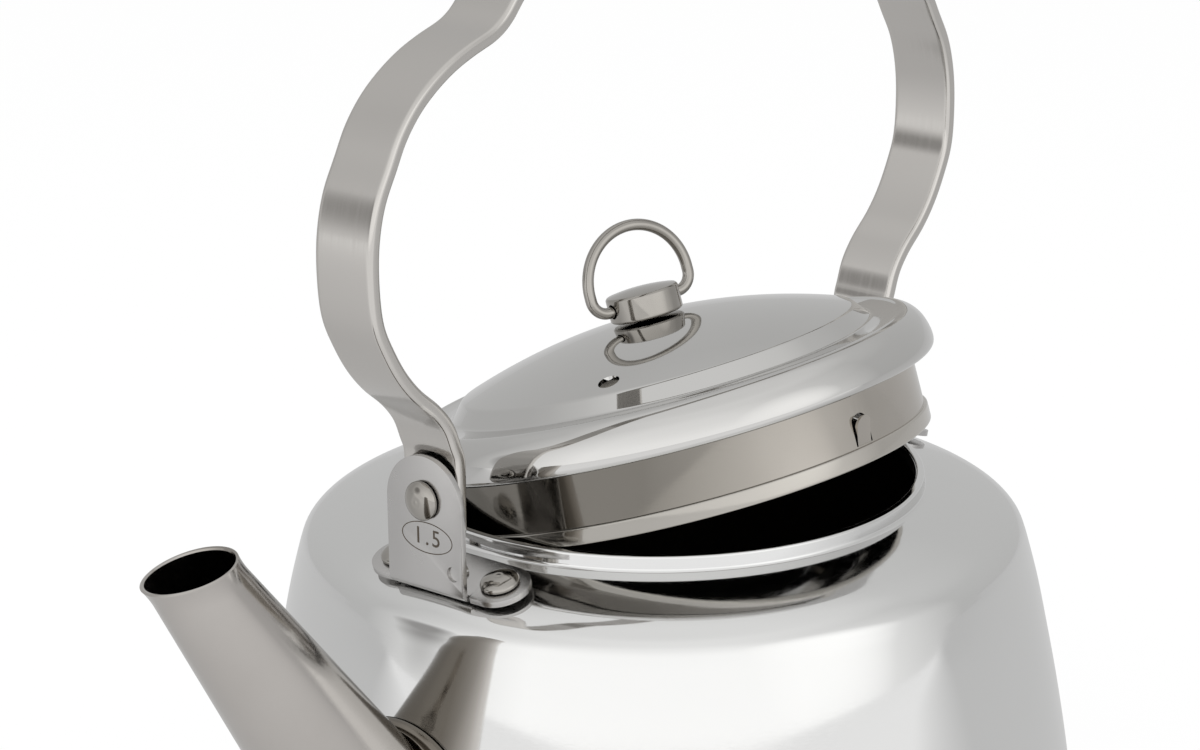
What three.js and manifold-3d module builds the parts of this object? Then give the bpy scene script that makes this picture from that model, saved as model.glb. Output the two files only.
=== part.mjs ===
// Stainless steel camping kettle with a bail handle and a loose, domed plug lid.
// Millimetres, +Z up. The origin is the centre of the flat bottom, the spout points along -X
// and the handle swings about an axis along X.
import * as THREE from 'three';
import { mergeVertices } from 'three/addons/utils/BufferGeometryUtils.js';
import Module from 'manifold-3d';

const wasm = await Module();
wasm.setup();

// Body
const bodyHeight = 100;
const baseRadius = 77.6;
const mouthRadius = 46;
const rimWidth = 1.7;
const rimFold = 3;
const collarHeight = 2.8;
const wallTopRadius = 67;
const domeSlope = THREE.MathUtils.degToRad(14);
const shoulderDrop = 12.2;
const sheet = 0.8;
const baseLip = 5;
const baseCornerRadius = 4.6;
const collarFillet = 2.4;
const rimRound = 0.8;
const joinGap = 0.3;
const boreClearance = 0.3;

// Spout
const spoutMouthReach = 117.4;
const spoutMouthHeight = 113;
const spoutRise = THREE.MathUtils.degToRad(54.4);
const spoutMouthRadius = 7.5;
const spoutTaper = 0.086;
const spoutSheet = 0.7;
const spoutLipFlare = 0.5;
const spoutLipLength = 4.5;
const spoutRootFillet = 6;
const spoutFlange = 3.2;
const spoutBeadWidth = 2;
const spoutBeadHeight = 0.9;
const strainerHoleRadius = 2.1;
const strainerPitch = 6;

// Ears, their rivets and the stop nibs
const earWidth = 17.3;
const earSheet = 1.1;
const earRise = 21.3;
const earPivotDrop = 7.8;
const earBendRadius = 1.6;
const footLobeRadius = 5.3;
const footLobeSpread = 11.7;
const footCollarGap = 3.2;
const footFoldGap = 1.2;
const footSeat = 0.3;
const stopNibRadius = 1.6;
const stopNibDepth = 1.7;
const stopNibRecess = 0.7;
const stopNibOffset = 6.4;
const stopNibRise = 3.2;
const rivetHeadRadius = 3.4;
const rivetHeadHeight = 1.7;
const rivetShankRadius = 1.8;
const rivetTailRadius = 2.8;
const rivetTailHeight = 1.1;

// Handle
const handleWidth = 12.9;
const handleThickness = 2.5;
const handleHalfSpan = 79;
const handleRise = 89.5;
const handleTail = 6.7;
const handleCornerRadius = 2;
const handleEdgeRound = 0.7;
const earToHandleGap = 0.6;

// Lid
const lidTilt = THREE.MathUtils.degToRad(16.1);
const lidLeanAzimuth = THREE.MathUtils.degToRad(99.6);
const lidShiftY = -2;
const lidLift = 13.1;
const lidSheet = 0.7;
const lidBrimOverhang = 1.3;
const lidBrimWidth = 5.3;
const lidBandWidth = 4.6;
const lidStepWidth = 2.6;
const lidCrownHeight = 16;
const lidCrownEdge = 9.5;
const lidBandHeight = 6.55;
const lidFoldDrop = 1.2;
const lidClearance = 0.9;
const skirtDepth = 14.1;
const skirtSheet = 0.7;
const hemHeight = 3.1;
const hemStep = 0.6;
const ventRadius = 1.95;
const ventReach = 32.3;
const ventAzimuth = THREE.MathUtils.degToRad(-153.3);
const tongueWidth = 3.5;
const tongueHeight = 5.2;
const tongueLean = 1.5;
const tongueSlit = 0.5;
const tongueSheetShare = 0.8;
const tongueAzimuth = THREE.MathUtils.degToRad(-92.3);

// Knob and its ring
const knobRadius = 6.7;
const knobHeight = 4.7;
const knobCrown = 0.5;
const knobEdge = 0.4;
const knobSeat = 0.3;
const knobHoleRise = 2.5;
const screwRadius = 1.6;
const screwHeadRadius = 3.4;
const screwHeadHeight = 1.6;
const screwLength = 3.6;
const ringWireRadius = 1.05;
const ringHalfWidth = 10.3;
const ringLeg = 3.8;
const ringBend = 3;
const ringEndDepth = 3;
const ringAzimuth = THREE.MathUtils.degToRad(-18.8);

// Facets
const roundSides = 48;
const smallSides = 12;
const wallFacets = 17;
const handleFacets = 62;
const cutOverrun = 2;

const steel = new THREE.MeshStandardMaterial({ color: 0xc9c6c1, roughness: 0.12, metalness: 1 });
const satinSteel = new THREE.MeshStandardMaterial({ color: 0xb9b4ac, roughness: 0.35, metalness: 1 });

const kettle = new THREE.Group();

// Geometry helpers

function weld(geometry) {
  geometry.deleteAttribute('normal');
  geometry.deleteAttribute('uv');
  return mergeVertices(geometry, 1e-4);
}

function toSolid(geometry) {
  const merged = weld(geometry);
  return new wasm.Manifold(new wasm.Mesh({
    numProp: 3,
    vertProperties: new Float32Array(merged.attributes.position.array),
    triVerts: new Uint32Array(merged.index.array),
  }));
}

function toGeometry(solid) {
  const mesh = solid.getMesh();
  const geometry = new THREE.BufferGeometry();
  geometry.setAttribute('position', new THREE.BufferAttribute(new Float32Array(mesh.vertProperties), 3));
  geometry.setIndex(new THREE.BufferAttribute(new Uint32Array(mesh.triVerts), 1));
  return geometry;
}

function addMesh(parent, name, geometry, material) {
  const mesh = new THREE.Mesh(weld(geometry), material);
  mesh.name = name;
  parent.add(mesh);
  return mesh;
}

// A profile of [radius, height] pairs turned about the Z axis
function revolve(profile, sides) {
  const points = profile.map(([radius, height]) => new THREE.Vector2(Math.max(radius, 0), height));
  const geometry = new THREE.LatheGeometry(points, sides);
  geometry.rotateX(Math.PI / 2);
  return geometry;
}

function revolveClosed(profile, sides) {
  return revolve([...profile, profile[0]], sides);
}

function arc(centreX, centreY, radius, startDegrees, endDegrees, steps) {
  const points = [];
  for (let step = 0; step <= steps; step += 1) {
    const angle = THREE.MathUtils.degToRad(startDegrees + (endDegrees - startDegrees) * step / steps);
    points.push([centreX + radius * Math.cos(angle), centreY + radius * Math.sin(angle)]);
  }
  return points;
}

function smoothCurve(points, steps) {
  const curve = new THREE.CatmullRomCurve3(
    points.map(([x, y]) => new THREE.Vector3(x, y, 0)), false, 'centripetal');
  return curve.getPoints(steps).map((point) => [point.x, point.y]);
}

// The same outline moved sideways by a sheet's thickness, to the left of its direction
function offsetLine(points, distance) {
  return points.map((point, index) => {
    const before = points[Math.max(index - 1, 0)];
    const after = points[Math.min(index + 1, points.length - 1)];
    const alongX = after[0] - before[0];
    const alongY = after[1] - before[1];
    const length = Math.hypot(alongX, alongY);
    return [point[0] - distance * alongY / length, point[1] + distance * alongX / length];
  });
}

// A closed skin over rings of points, each ring a closed loop; the two end rings are capped
function loftLoops(rings, joinEnds) {
  const count = rings[0].length;
  const position = [];
  for (const ring of rings) {
    for (const point of ring) position.push(point.x, point.y, point.z);
  }
  const index = [];
  const ringTotal = joinEnds ? rings.length : rings.length - 1;
  for (let ring = 0; ring < ringTotal; ring += 1) {
    const here = ring * count;
    const next = ((ring + 1) % rings.length) * count;
    for (let side = 0; side < count; side += 1) {
      const other = (side + 1) % count;
      index.push(here + side, here + other, next + other);
      index.push(here + side, next + other, next + side);
    }
  }
  if (!joinEnds) {
    const last = (rings.length - 1) * count;
    for (let side = 1; side < count - 1; side += 1) {
      index.push(0, side + 1, side);
      index.push(last, last + side, last + side + 1);
    }
  }
  const geometry = new THREE.BufferGeometry();
  geometry.setAttribute('position', new THREE.Float32BufferAttribute(position, 3));
  geometry.setIndex(index);
  return geometry;
}

function rod(radius, length, axis, centre, sides) {
  const geometry = new THREE.CylinderGeometry(radius, radius, length, sides);
  geometry.applyQuaternion(new THREE.Quaternion().setFromUnitVectors(new THREE.Vector3(0, 1, 0), axis));
  geometry.translate(centre.x, centre.y, centre.z);
  return geometry;
}

// Body: one drawn shell with a drafted wall, a soft shoulder that rises as a shallow dome, and an
// upright collar whose edge is folded inwards. Wall shares run from the shoulder's foot to the base
// and shoulder shares from the collar's foot to the top of the wall.
const wallShares = [
  [1, 1], [0.93, 0.841], [0.849, 0.69], [0.708, 0.502], [0.509, 0.326], [0.297, 0.176], [0.142, 0.075],
];
const shoulderShares = [
  [1, 1], [0.959, 0.77], [0.922, 0.615], [0.86, 0.492], [0.767, 0.385], [0.653, 0.299], [0.503, 0.217],
  [0.326, 0.131], [0.171, 0.066],
];
const rimOuter = mouthRadius + rimWidth;
const ledgeHeight = bodyHeight - collarHeight;
const bodyFootHeight = baseLip + joinGap;
const filletTangent = collarFillet * Math.tan((Math.PI / 2 - domeSlope) / 2);
const filletCentre = { reach: rimOuter + collarFillet, height: ledgeHeight + filletTangent };

function bodyOutline() {
  const wallTop = ledgeHeight - shoulderDrop;
  const wall = wallShares.map(([outShare, downShare]) => [
    wallTopRadius + (baseRadius - wallTopRadius) * outShare,
    wallTop - (wallTop - bodyFootHeight) * downShare,
  ]);
  const shoulder = shoulderShares.map(([outShare, downShare]) => [
    rimOuter + (wallTopRadius - rimOuter) * outShare,
    ledgeHeight - shoulderDrop * downShare,
  ]);
  const domeTop = [
    rimOuter + filletTangent * Math.cos(domeSlope),
    ledgeHeight - filletTangent * Math.sin(domeSlope),
  ];
  return smoothCurve([...wall, ...shoulder, domeTop], wallFacets);
}

const outerWall = bodyOutline();

function bodyRadiusAt(height) {
  for (let index = 1; index < outerWall.length; index += 1) {
    const [lowRadius, low] = outerWall[index - 1];
    const [highRadius, high] = outerWall[index];
    if (height <= high) return lowRadius + (highRadius - lowRadius) * (height - low) / (high - low);
  }
  return rimOuter;
}

// The straight piece of the outline that lies at a radius near the collar: a point and its slope.
function domeAt(radius) {
  const index = outerWall.findLastIndex(([reach]) => reach >= radius);
  const [lowRadius, low] = outerWall[index];
  const [highRadius, high] = outerWall[index + 1];
  const slope = Math.atan2(high - low, lowRadius - highRadius);
  return { slope, height: low + (lowRadius - radius) * Math.tan(slope) };
}

function bodyShell() {
  const { reach, height } = filletCentre;
  const tilt = THREE.MathUtils.radToDeg(domeSlope);
  const collar = arc(reach, height, collarFillet, 270 - tilt, 180, 3);
  const rim = [
    ...arc(rimOuter - rimRound, bodyHeight - rimRound, rimRound, 0, 90, 3),
    ...arc(mouthRadius + rimRound, bodyHeight - rimRound, rimRound, 90, 180, 3),
  ];
  const inner = offsetLine(outerWall, sheet).reverse()
    .filter((point, index, points) => index % 2 === 0 || index === points.length - 1);
  const foldBottom = bodyHeight - rimFold;
  const neckRound = collarFillet + sheet;
  const foldTurn = THREE.MathUtils.radToDeg(Math.asin((height - foldBottom) / neckRound));
  const neck = [[mouthRadius, foldBottom], ...arc(reach, height, neckRound, 180 + foldTurn, 270 - tilt, 3)];
  return revolveClosed([...outerWall, ...collar.slice(1), ...rim, ...neck, ...inner], roundSides);
}

// Spout: a tapered tube whose root flares onto the wall and ends in a weld bead.
// Each row runs at one angle about the spout's axis, out along the skin and back inside it.
const spoutAxis = new THREE.Vector3(-Math.cos(spoutRise), 0, Math.sin(spoutRise));
const spoutUpper = new THREE.Vector3(Math.sin(spoutRise), 0, Math.cos(spoutRise));
const spoutSide = new THREE.Vector3(0, -1, 0);
const spoutMouth = new THREE.Vector3(-spoutMouthReach, 0, spoutMouthHeight);
const spoutMouthSlopeShares = { upper: 0.47, side: -0.13 };

function spoutPoint(angle, depth, radius) {
  return spoutMouth.clone()
    .addScaledVector(spoutAxis, -depth)
    .addScaledVector(spoutUpper, Math.cos(angle) * radius)
    .addScaledVector(spoutSide, Math.sin(angle) * radius);
}

function spoutMeetsBody(angle, inset, clearance) {
  let near = 0;
  let far = spoutMouthReach;
  for (let step = 0; step < 40; step += 1) {
    const middle = (near + far) / 2;
    const point = spoutPoint(angle, middle, spoutMouthRadius + spoutTaper * middle - inset);
    const outside = Math.hypot(point.x, point.y) > bodyRadiusAt(point.z) + clearance;
    if (outside) near = middle;
    else far = middle;
  }
  return near;
}

function onBodySkin(point, clearance) {
  const scale = (bodyRadiusAt(point.z) + clearance) / Math.hypot(point.x, point.y);
  return new THREE.Vector3(point.x * scale, point.y * scale, point.z);
}

function spoutRow(angle) {
  const slope = spoutMouthSlopeShares.upper * Math.cos(angle) + spoutMouthSlopeShares.side * Math.sin(angle);
  const rimDepth = spoutMouthRadius * slope;
  const rootDepth = spoutMeetsBody(angle, 0, joinGap);
  const filletDepth = rootDepth - spoutRootFillet;
  const radiusAt = (depth) => spoutMouthRadius + spoutTaper * depth;
  const row = [];
  const lipSteps = 3;
  for (let step = 0; step <= lipSteps; step += 1) {
    const share = step / lipSteps;
    const flare = spoutLipFlare * (1 - share) * (1 - share);
    const depth = rimDepth + spoutLipLength * share;
    row.push(spoutPoint(angle, depth, radiusAt(depth) + flare));
  }
  const tubeSteps = 3;
  for (let step = 1; step < tubeSteps; step += 1) {
    const depth = rimDepth + spoutLipLength + (filletDepth - rimDepth - spoutLipLength) * step / tubeSteps;
    row.push(spoutPoint(angle, depth, radiusAt(depth)));
  }
  const filletStart = spoutPoint(angle, filletDepth, radiusAt(filletDepth));
  const corner = spoutPoint(angle, rootDepth, radiusAt(rootDepth));
  const outward = spoutPoint(angle, rootDepth, radiusAt(rootDepth) + spoutFlange);
  const filletEnd = onBodySkin(outward, joinGap + spoutSheet);
  const bend = new THREE.QuadraticBezierCurve3(filletStart, onBodySkin(corner, joinGap + spoutSheet), filletEnd);
  row.push(...bend.getPoints(4));
  const beadMiddle = spoutPoint(angle, rootDepth, radiusAt(rootDepth) + spoutFlange + spoutBeadWidth / 2);
  const beadOuter = spoutPoint(angle, rootDepth, radiusAt(rootDepth) + spoutFlange + spoutBeadWidth);
  row.push(onBodySkin(beadMiddle, joinGap + spoutSheet + spoutBeadHeight));
  row.push(onBodySkin(beadOuter, joinGap + spoutSheet));
  row.push(onBodySkin(beadOuter, joinGap));
  row.push(onBodySkin(outward, joinGap));
  const innerRoot = spoutMeetsBody(angle, spoutSheet, joinGap);
  row.push(spoutPoint(angle, innerRoot, radiusAt(innerRoot) - spoutSheet));
  const innerLip = rimDepth + spoutLipLength;
  row.push(spoutPoint(angle, innerLip, radiusAt(innerLip) - spoutSheet));
  row.push(spoutPoint(angle, rimDepth, radiusAt(rimDepth) + spoutLipFlare - spoutSheet));
  return row;
}

function spoutTube() {
  const rows = [];
  const sides = 30;
  for (let side = 0; side < sides; side += 1) rows.push(spoutRow(-Math.PI * 2 * side / sides));
  return loftLoops(rows, true);
}

// Strainer: round holes through the body wall, inside the spout's root
function strainerHoles() {
  const rootCentre = spoutPoint(0, spoutMeetsBody(Math.PI / 2, 0, 0), 0);
  const offsets = [[0, 0]];
  for (let turn = 0; turn < 6; turn += 1) {
    const angle = Math.PI * turn / 3;
    offsets.push([Math.cos(angle) * strainerPitch, Math.sin(angle) * strainerPitch]);
  }
  const outward = new THREE.Vector3(-1, 0, 0);
  return offsets.map(([sideways, upwards]) => {
    const height = rootCentre.z + upwards;
    const reach = bodyRadiusAt(height) - sheet / 2;
    const across = -Math.sqrt(reach * reach - sideways * sideways);
    const centre = new THREE.Vector3(across, sideways, height);
    return toSolid(rod(strainerHoleRadius, sheet * 2 + cutOverrun * 2, outward, centre, smallSides));
  });
}

// Ear: a flat plate with a round top. Its foot is bent in and lies along the dome, where two lobes
// carry the rivets. The foot's frame has its origin on the foot's underside between the rivets.
const footRivetReach = rimOuter + footCollarGap + footLobeRadius;
const earReach = footRivetReach + footLobeRadius + footFoldGap;
const earTop = ledgeHeight + earRise;
const footDome = domeAt(footRivetReach);
const footSlope = footDome.slope;
const footBase = footDome.height + footSeat / Math.cos(footSlope);
const bendReach = earReach - earBendRadius;
const bendHeight = footBase - (bendReach - footRivetReach) * Math.tan(footSlope) + earBendRadius / Math.cos(footSlope);
const footNormal = new THREE.Vector3(-Math.sin(footSlope), 0, Math.cos(footSlope));
const rivetDome = domeAt(Math.hypot(footRivetReach, footLobeSpread));
const footSag = (footBase - rivetDome.height) * Math.cos(footSlope);
const earInnerFace = earReach - earSheet;
const handleReach = earInnerFace - earToHandleGap - handleThickness / 2;
const pivotHeight = earTop - earPivotDrop;

function earPlate() {
  const outline = new THREE.Shape();
  const half = earWidth / 2;
  const low = bendHeight;
  outline.moveTo(-half, low);
  outline.lineTo(half, low);
  outline.lineTo(half, earTop - half);
  outline.absarc(0, earTop - half, half, 0, Math.PI, false);
  outline.lineTo(-half, low);
  const geometry = new THREE.ExtrudeGeometry(outline, { depth: earSheet, bevelEnabled: false, curveSegments: 9 });
  geometry.rotateX(Math.PI / 2);
  geometry.rotateZ(Math.PI / 2);
  geometry.translate(-earReach, 0, 0);
  return geometry;
}

function earBend() {
  const end = 270 + THREE.MathUtils.radToDeg(footSlope);
  const bend = [
    ...arc(-bendReach, bendHeight, earBendRadius, 180, end, 4),
    ...arc(-bendReach, bendHeight, earBendRadius - earSheet, end, 180, 4),
  ];
  const outline = new THREE.Shape(bend.map(([x, z]) => new THREE.Vector2(x, z)));
  const geometry = new THREE.ExtrudeGeometry(outline, { depth: earWidth, bevelEnabled: false });
  geometry.rotateX(Math.PI / 2);
  geometry.translate(0, earWidth / 2, 0);
  return geometry;
}

function earFoot() {
  const outline = new THREE.Shape();
  const bendEnd = bendReach - earBendRadius * Math.sin(footSlope);
  const foldX = (footRivetReach - bendEnd) / Math.cos(footSlope);
  const half = earWidth / 2;
  outline.moveTo(foldX, -half);
  outline.lineTo(-footLobeRadius, -half);
  outline.lineTo(-footLobeRadius, -footLobeSpread);
  outline.absarc(0, -footLobeSpread, footLobeRadius, Math.PI, Math.PI * 2, false);
  outline.lineTo(footLobeRadius, footLobeSpread);
  outline.absarc(0, footLobeSpread, footLobeRadius, 0, Math.PI, false);
  outline.lineTo(-footLobeRadius, half);
  outline.lineTo(foldX, half);
  const geometry = new THREE.ExtrudeGeometry(outline, { depth: earSheet, bevelEnabled: false, curveSegments: 6 });
  geometry.rotateY(-footSlope);
  geometry.translate(-footRivetReach, 0, footBase);
  return geometry;
}

function earSolid() {
  const alongX = new THREE.Vector3(1, 0, 0);
  const nibCentre = new THREE.Vector3(-earInnerFace, -stopNibOffset, bendHeight + stopNibRise);
  const collarSpace = revolve(
    [[0, ledgeHeight - cutOverrun], [rimOuter + joinGap, ledgeHeight - cutOverrun],
      [rimOuter + joinGap, bodyHeight], [0, bodyHeight]], roundSides);
  const pivot = new THREE.Vector3(-earReach, 0, pivotHeight);
  const nib = rod(stopNibRadius, stopNibDepth, alongX,
    nibCentre.clone().addScaledVector(alongX, stopNibDepth / 2 - stopNibRecess / 2), smallSides);
  const recess = rod(stopNibRadius - stopNibRecess / 2, stopNibRecess * 2, alongX,
    new THREE.Vector3(-earReach, nibCentre.y, nibCentre.z), smallSides);
  let ear = toSolid(earPlate()).add(toSolid(earBend())).add(toSolid(earFoot()));
  ear = ear.add(toSolid(nib)).subtract(toSolid(recess));
  ear = ear.subtract(toSolid(collarSpace));
  ear = ear.subtract(toSolid(rod(rivetShankRadius + boreClearance, earSheet * 2 + cutOverrun, alongX, pivot, smallSides)));
  for (const place of footRivetPlaces()) {
    const bore = rod(rivetShankRadius + boreClearance, earSheet * 2 + cutOverrun, footNormal, place, smallSides);
    ear = ear.subtract(toSolid(bore));
  }
  return ear;
}

// Each place lies on the foot's upper face.
function footRivetPlaces() {
  return [-1, 1].map((side) => new THREE.Vector3(-footRivetReach, side * footLobeSpread, footBase)
    .addScaledVector(footNormal, earSheet));
}

// Rivet: domed head, shank and a peened tail; the grip is what it holds together.
// It stands on the plane z = 0 with its head above.
function rivet(grip) {
  const tailTop = -grip;
  const profile = [
    [0, tailTop - rivetTailHeight],
    [rivetTailRadius * 0.7, tailTop - rivetTailHeight * 0.8],
    [rivetTailRadius, tailTop],
    [rivetShankRadius, tailTop],
    [rivetShankRadius, 0],
    [rivetHeadRadius, 0],
    [rivetHeadRadius * 0.94, rivetHeadHeight * 0.45],
    [rivetHeadRadius * 0.66, rivetHeadHeight * 0.83],
    [0, rivetHeadHeight],
  ];
  return revolve(profile, smallSides);
}

// Handle: a flat band bent to an arch with wide hips, a neck and a raised grip. Hip shares run from
// the straight leg out to the hip, crown shares from the middle out to the hip. Both rise from the
// ear's top to the grip.
const hipShares = [
  [0, 0], [0.041, 0.023], [0.124, 0.067], [0.278, 0.108], [0.51, 0.151], [0.691, 0.196], [0.845, 0.251],
  [0.959, 0.307], [1, 0.385],
];
const crownShares = [
  [0.996, 0.464], [0.975, 0.536], [0.937, 0.598], [0.905, 0.648], [0.861, 0.693], [0.81, 0.728],
  [0.747, 0.759], [0.684, 0.78], [0.614, 0.799], [0.575, 0.82], [0.535, 0.857], [0.472, 0.912],
  [0.37, 0.958], [0.2, 0.99], [0, 1],
];

function handleLine() {
  const points = [
    [-handleReach, pivotHeight - handleTail],
    [-handleReach, pivotHeight],
    ...hipShares.map(([outShare, upShare]) => [
      -handleReach - (handleHalfSpan - handleReach) * outShare,
      earTop + handleRise * upShare,
    ]),
    ...crownShares.map(([outShare, upShare]) => [-handleHalfSpan * outShare, earTop + handleRise * upShare]),
  ];
  const mirrored = points.slice(0, -1).reverse().map(([x, z]) => [-x, z]);
  return smoothCurve([...points, ...mirrored], handleFacets);
}

function handleSection(halfWidth) {
  const halfThickness = handleThickness / 2;
  const round = Math.min(handleEdgeRound, halfWidth);
  return [
    [-halfThickness, -halfWidth + round], [-halfThickness + round, -halfWidth],
    [halfThickness - round, -halfWidth], [halfThickness, -halfWidth + round],
    [halfThickness, halfWidth - round], [halfThickness - round, halfWidth],
    [-halfThickness + round, halfWidth], [-halfThickness, halfWidth - round],
  ];
}

function handleBand() {
  const line = handleLine();
  const lengths = [0];
  for (let index = 1; index < line.length; index += 1) {
    const step = Math.hypot(line[index][0] - line[index - 1][0], line[index][1] - line[index - 1][1]);
    lengths.push(lengths[index - 1] + step);
  }
  const total = lengths[lengths.length - 1];
  const at = (distance) => {
    let index = 1;
    while (index < line.length - 1 && lengths[index] < distance) index += 1;
    const share = (distance - lengths[index - 1]) / (lengths[index] - lengths[index - 1]);
    const [x0, z0] = line[index - 1];
    const [x1, z1] = line[index];
    const span = Math.hypot(x1 - x0, z1 - z0);
    return { x: x0 + (x1 - x0) * share, z: z0 + (z1 - z0) * share, nx: -(z1 - z0) / span, nz: (x1 - x0) / span };
  };
  const ends = [0, 0.12, 0.4, 1].map((share) => handleCornerRadius * share);
  const middles = lengths.filter((length) => length > ends[3] + 1e-6 && length < total - ends[3] - 1e-6);
  const stations = [...ends, ...middles, ...ends.slice().reverse().map((length) => total - length)];
  const rings = stations.map((distance) => {
    const fromEnd = Math.min(distance, total - distance, handleCornerRadius);
    const back = handleCornerRadius - fromEnd;
    const halfWidth = handleWidth / 2 - handleCornerRadius
      + Math.sqrt(handleCornerRadius * handleCornerRadius - back * back);
    const place = at(distance);
    return handleSection(halfWidth).map(([off, y]) =>
      new THREE.Vector3(place.x + place.nx * off, -y, place.z + place.nz * off));
  });
  let band = toSolid(loftLoops(rings, false));
  const alongX = new THREE.Vector3(1, 0, 0);
  for (const side of [-1, 1]) {
    const pivot = new THREE.Vector3(side * handleReach, 0, pivotHeight);
    const bore = rod(rivetShankRadius + boreClearance, handleThickness + cutOverrun * 2, alongX, pivot, smallSides);
    band = band.subtract(toSolid(bore));
  }
  return toGeometry(band);
}

const lidBrimRadius = rimOuter + lidBrimOverhang;
const lidBandOuter = lidBrimRadius - lidBrimWidth;
const lidBandInner = lidBandOuter - lidBandWidth;
const lidCrownRadius = lidBandInner - lidStepWidth;
const skirtRadius = mouthRadius - lidClearance - hemStep;

// Lid cover: a shallow crown, a step down to a flat band, then a round brim folded under the skirt
const coverBoreRadius = screwRadius + boreClearance;

function coverOutline() {
  const crown = [];
  for (const share of [0, 0.35, 0.7, 1]) {
    const radius = coverBoreRadius + (lidCrownRadius - coverBoreRadius) * share;
    const fall = (radius / lidCrownRadius) ** 2;
    crown.push([radius, lidCrownHeight - (lidCrownHeight - lidCrownEdge) * fall]);
  }
  const brim = [];
  for (const degrees of [90, 65, 42, 20, 0]) {
    const angle = THREE.MathUtils.degToRad(degrees);
    brim.push([lidBandOuter + lidBrimWidth * Math.cos(angle), lidBandHeight * Math.sin(angle)]);
  }
  const fold = arc(lidBrimRadius - lidFoldDrop, 0, lidFoldDrop, -30, -90, 2);
  return { top: [...crown, [lidBandInner, lidBandHeight], ...brim], fold };
}

function lidCover() {
  const { top, fold } = coverOutline();
  const under = offsetLine(top, -lidSheet);
  under[0] = [coverBoreRadius, top[0][1] - lidSheet];
  const foldInner = skirtRadius + joinGap;
  const foldTop = -lidFoldDrop + lidSheet;
  const profile = [
    ...top, ...fold, [foldInner, -lidFoldDrop], [foldInner, foldTop], [lidBrimRadius - lidFoldDrop, foldTop],
    ...under.slice().reverse(),
  ].reverse();
  let cover = toSolid(revolveClosed(profile, roundSides));
  const upwards = new THREE.Vector3(0, 0, 1);
  const ventCentre = new THREE.Vector3(
    Math.cos(ventAzimuth) * ventReach, Math.sin(ventAzimuth) * ventReach, lidCrownEdge);
  cover = cover.subtract(toSolid(rod(ventRadius, lidCrownHeight, upwards, ventCentre, smallSides)));
  return toGeometry(cover);
}

// Lid skirt: an upright ring with a flange held in the brim's fold and a hem at its lower edge.
// Just above the hem one tongue is cut free on three sides and leans out to catch the collar.
function tongueBlank(halfWidth, height, depth) {
  const outline = new THREE.Shape();
  outline.moveTo(-halfWidth, 0);
  outline.lineTo(halfWidth, 0);
  outline.lineTo(halfWidth, height - halfWidth);
  outline.absarc(0, height - halfWidth, halfWidth, 0, Math.PI, false);
  outline.lineTo(-halfWidth, 0);
  const geometry = new THREE.ExtrudeGeometry(outline, { depth, bevelEnabled: false, curveSegments: 8 });
  geometry.translate(0, 0, -depth / 2);
  geometry.rotateX(Math.PI / 2);
  geometry.rotateZ(Math.PI / 2);
  return geometry;
}

function lidSkirt() {
  const inner = skirtRadius - skirtSheet;
  const hemRadius = skirtRadius + hemStep;
  const flangeLow = -lidFoldDrop + lidSheet + joinGap;
  const flangeOuter = lidBrimRadius - lidSheet * 2 - joinGap;
  const profile = [
    [inner, -skirtDepth], [hemRadius - hemStep / 2, -skirtDepth], [hemRadius, -skirtDepth + hemStep / 2],
    [hemRadius, -skirtDepth + hemHeight - hemStep / 2], [hemRadius - hemStep / 2, -skirtDepth + hemHeight],
    [skirtRadius, -skirtDepth + hemHeight], [skirtRadius, flangeLow], [flangeOuter, flangeLow],
    [flangeOuter, flangeLow + skirtSheet], [inner, flangeLow + skirtSheet],
  ];
  let skirt = toSolid(revolveClosed(profile, roundSides));
  const tongueFoot = -skirtDepth + hemHeight + tongueSlit;
  const window = tongueBlank(tongueWidth / 2 + tongueSlit, tongueHeight + tongueSlit, skirtSheet + cutOverrun);
  window.translate(skirtRadius - skirtSheet / 2, 0, tongueFoot);
  window.rotateZ(tongueAzimuth);
  const tongue = tongueBlank(tongueWidth / 2, tongueHeight + tongueSlit, skirtSheet * tongueSheetShare);
  tongue.rotateY(Math.atan2(tongueLean, tongueHeight));
  tongue.translate(skirtRadius - skirtSheet / 2, 0, tongueFoot - tongueSlit);
  tongue.rotateZ(tongueAzimuth);
  skirt = skirt.subtract(toSolid(window)).add(toSolid(tongue));
  return toGeometry(skirt);
}

// Knob: a thick disc with a slightly raised top, a cross hole for the ring and a blind hole
// for the screw that holds it from inside the lid
const knobBottom = lidCrownHeight + knobSeat;
const knobTop = knobBottom + knobHeight;
const ringHeight = knobBottom + knobHoleRise;
const ringDirection = new THREE.Vector3(Math.cos(ringAzimuth), Math.sin(ringAzimuth), 0);

function knobDisc() {
  const profile = [
    [0, knobBottom], [knobRadius - knobEdge, knobBottom], [knobRadius, knobBottom + knobEdge],
    [knobRadius, knobTop - knobEdge], [knobRadius - knobEdge, knobTop],
    [knobRadius * 0.6, knobTop + knobCrown * 0.65], [0, knobTop + knobCrown],
  ];
  const crossCentre = new THREE.Vector3(0, 0, ringHeight);
  let knob = toSolid(revolve(profile, roundSides / 2));
  for (const side of [-1, 1]) {
    const centre = crossCentre.clone().addScaledVector(ringDirection, side * knobRadius);
    const hole = rod(ringWireRadius + boreClearance, (ringEndDepth + joinGap) * 2, ringDirection, centre, smallSides);
    knob = knob.subtract(toSolid(hole));
  }
  const screwTop = knobBottom + screwLength - knobHoleRise;
  const socketHeight = (screwTop + joinGap - knobBottom) * 2;
  const socket = rod(screwRadius + boreClearance, socketHeight, new THREE.Vector3(0, 0, 1),
    new THREE.Vector3(0, 0, knobBottom), smallSides);
  return toGeometry(knob.subtract(toSolid(socket)));
}

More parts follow.
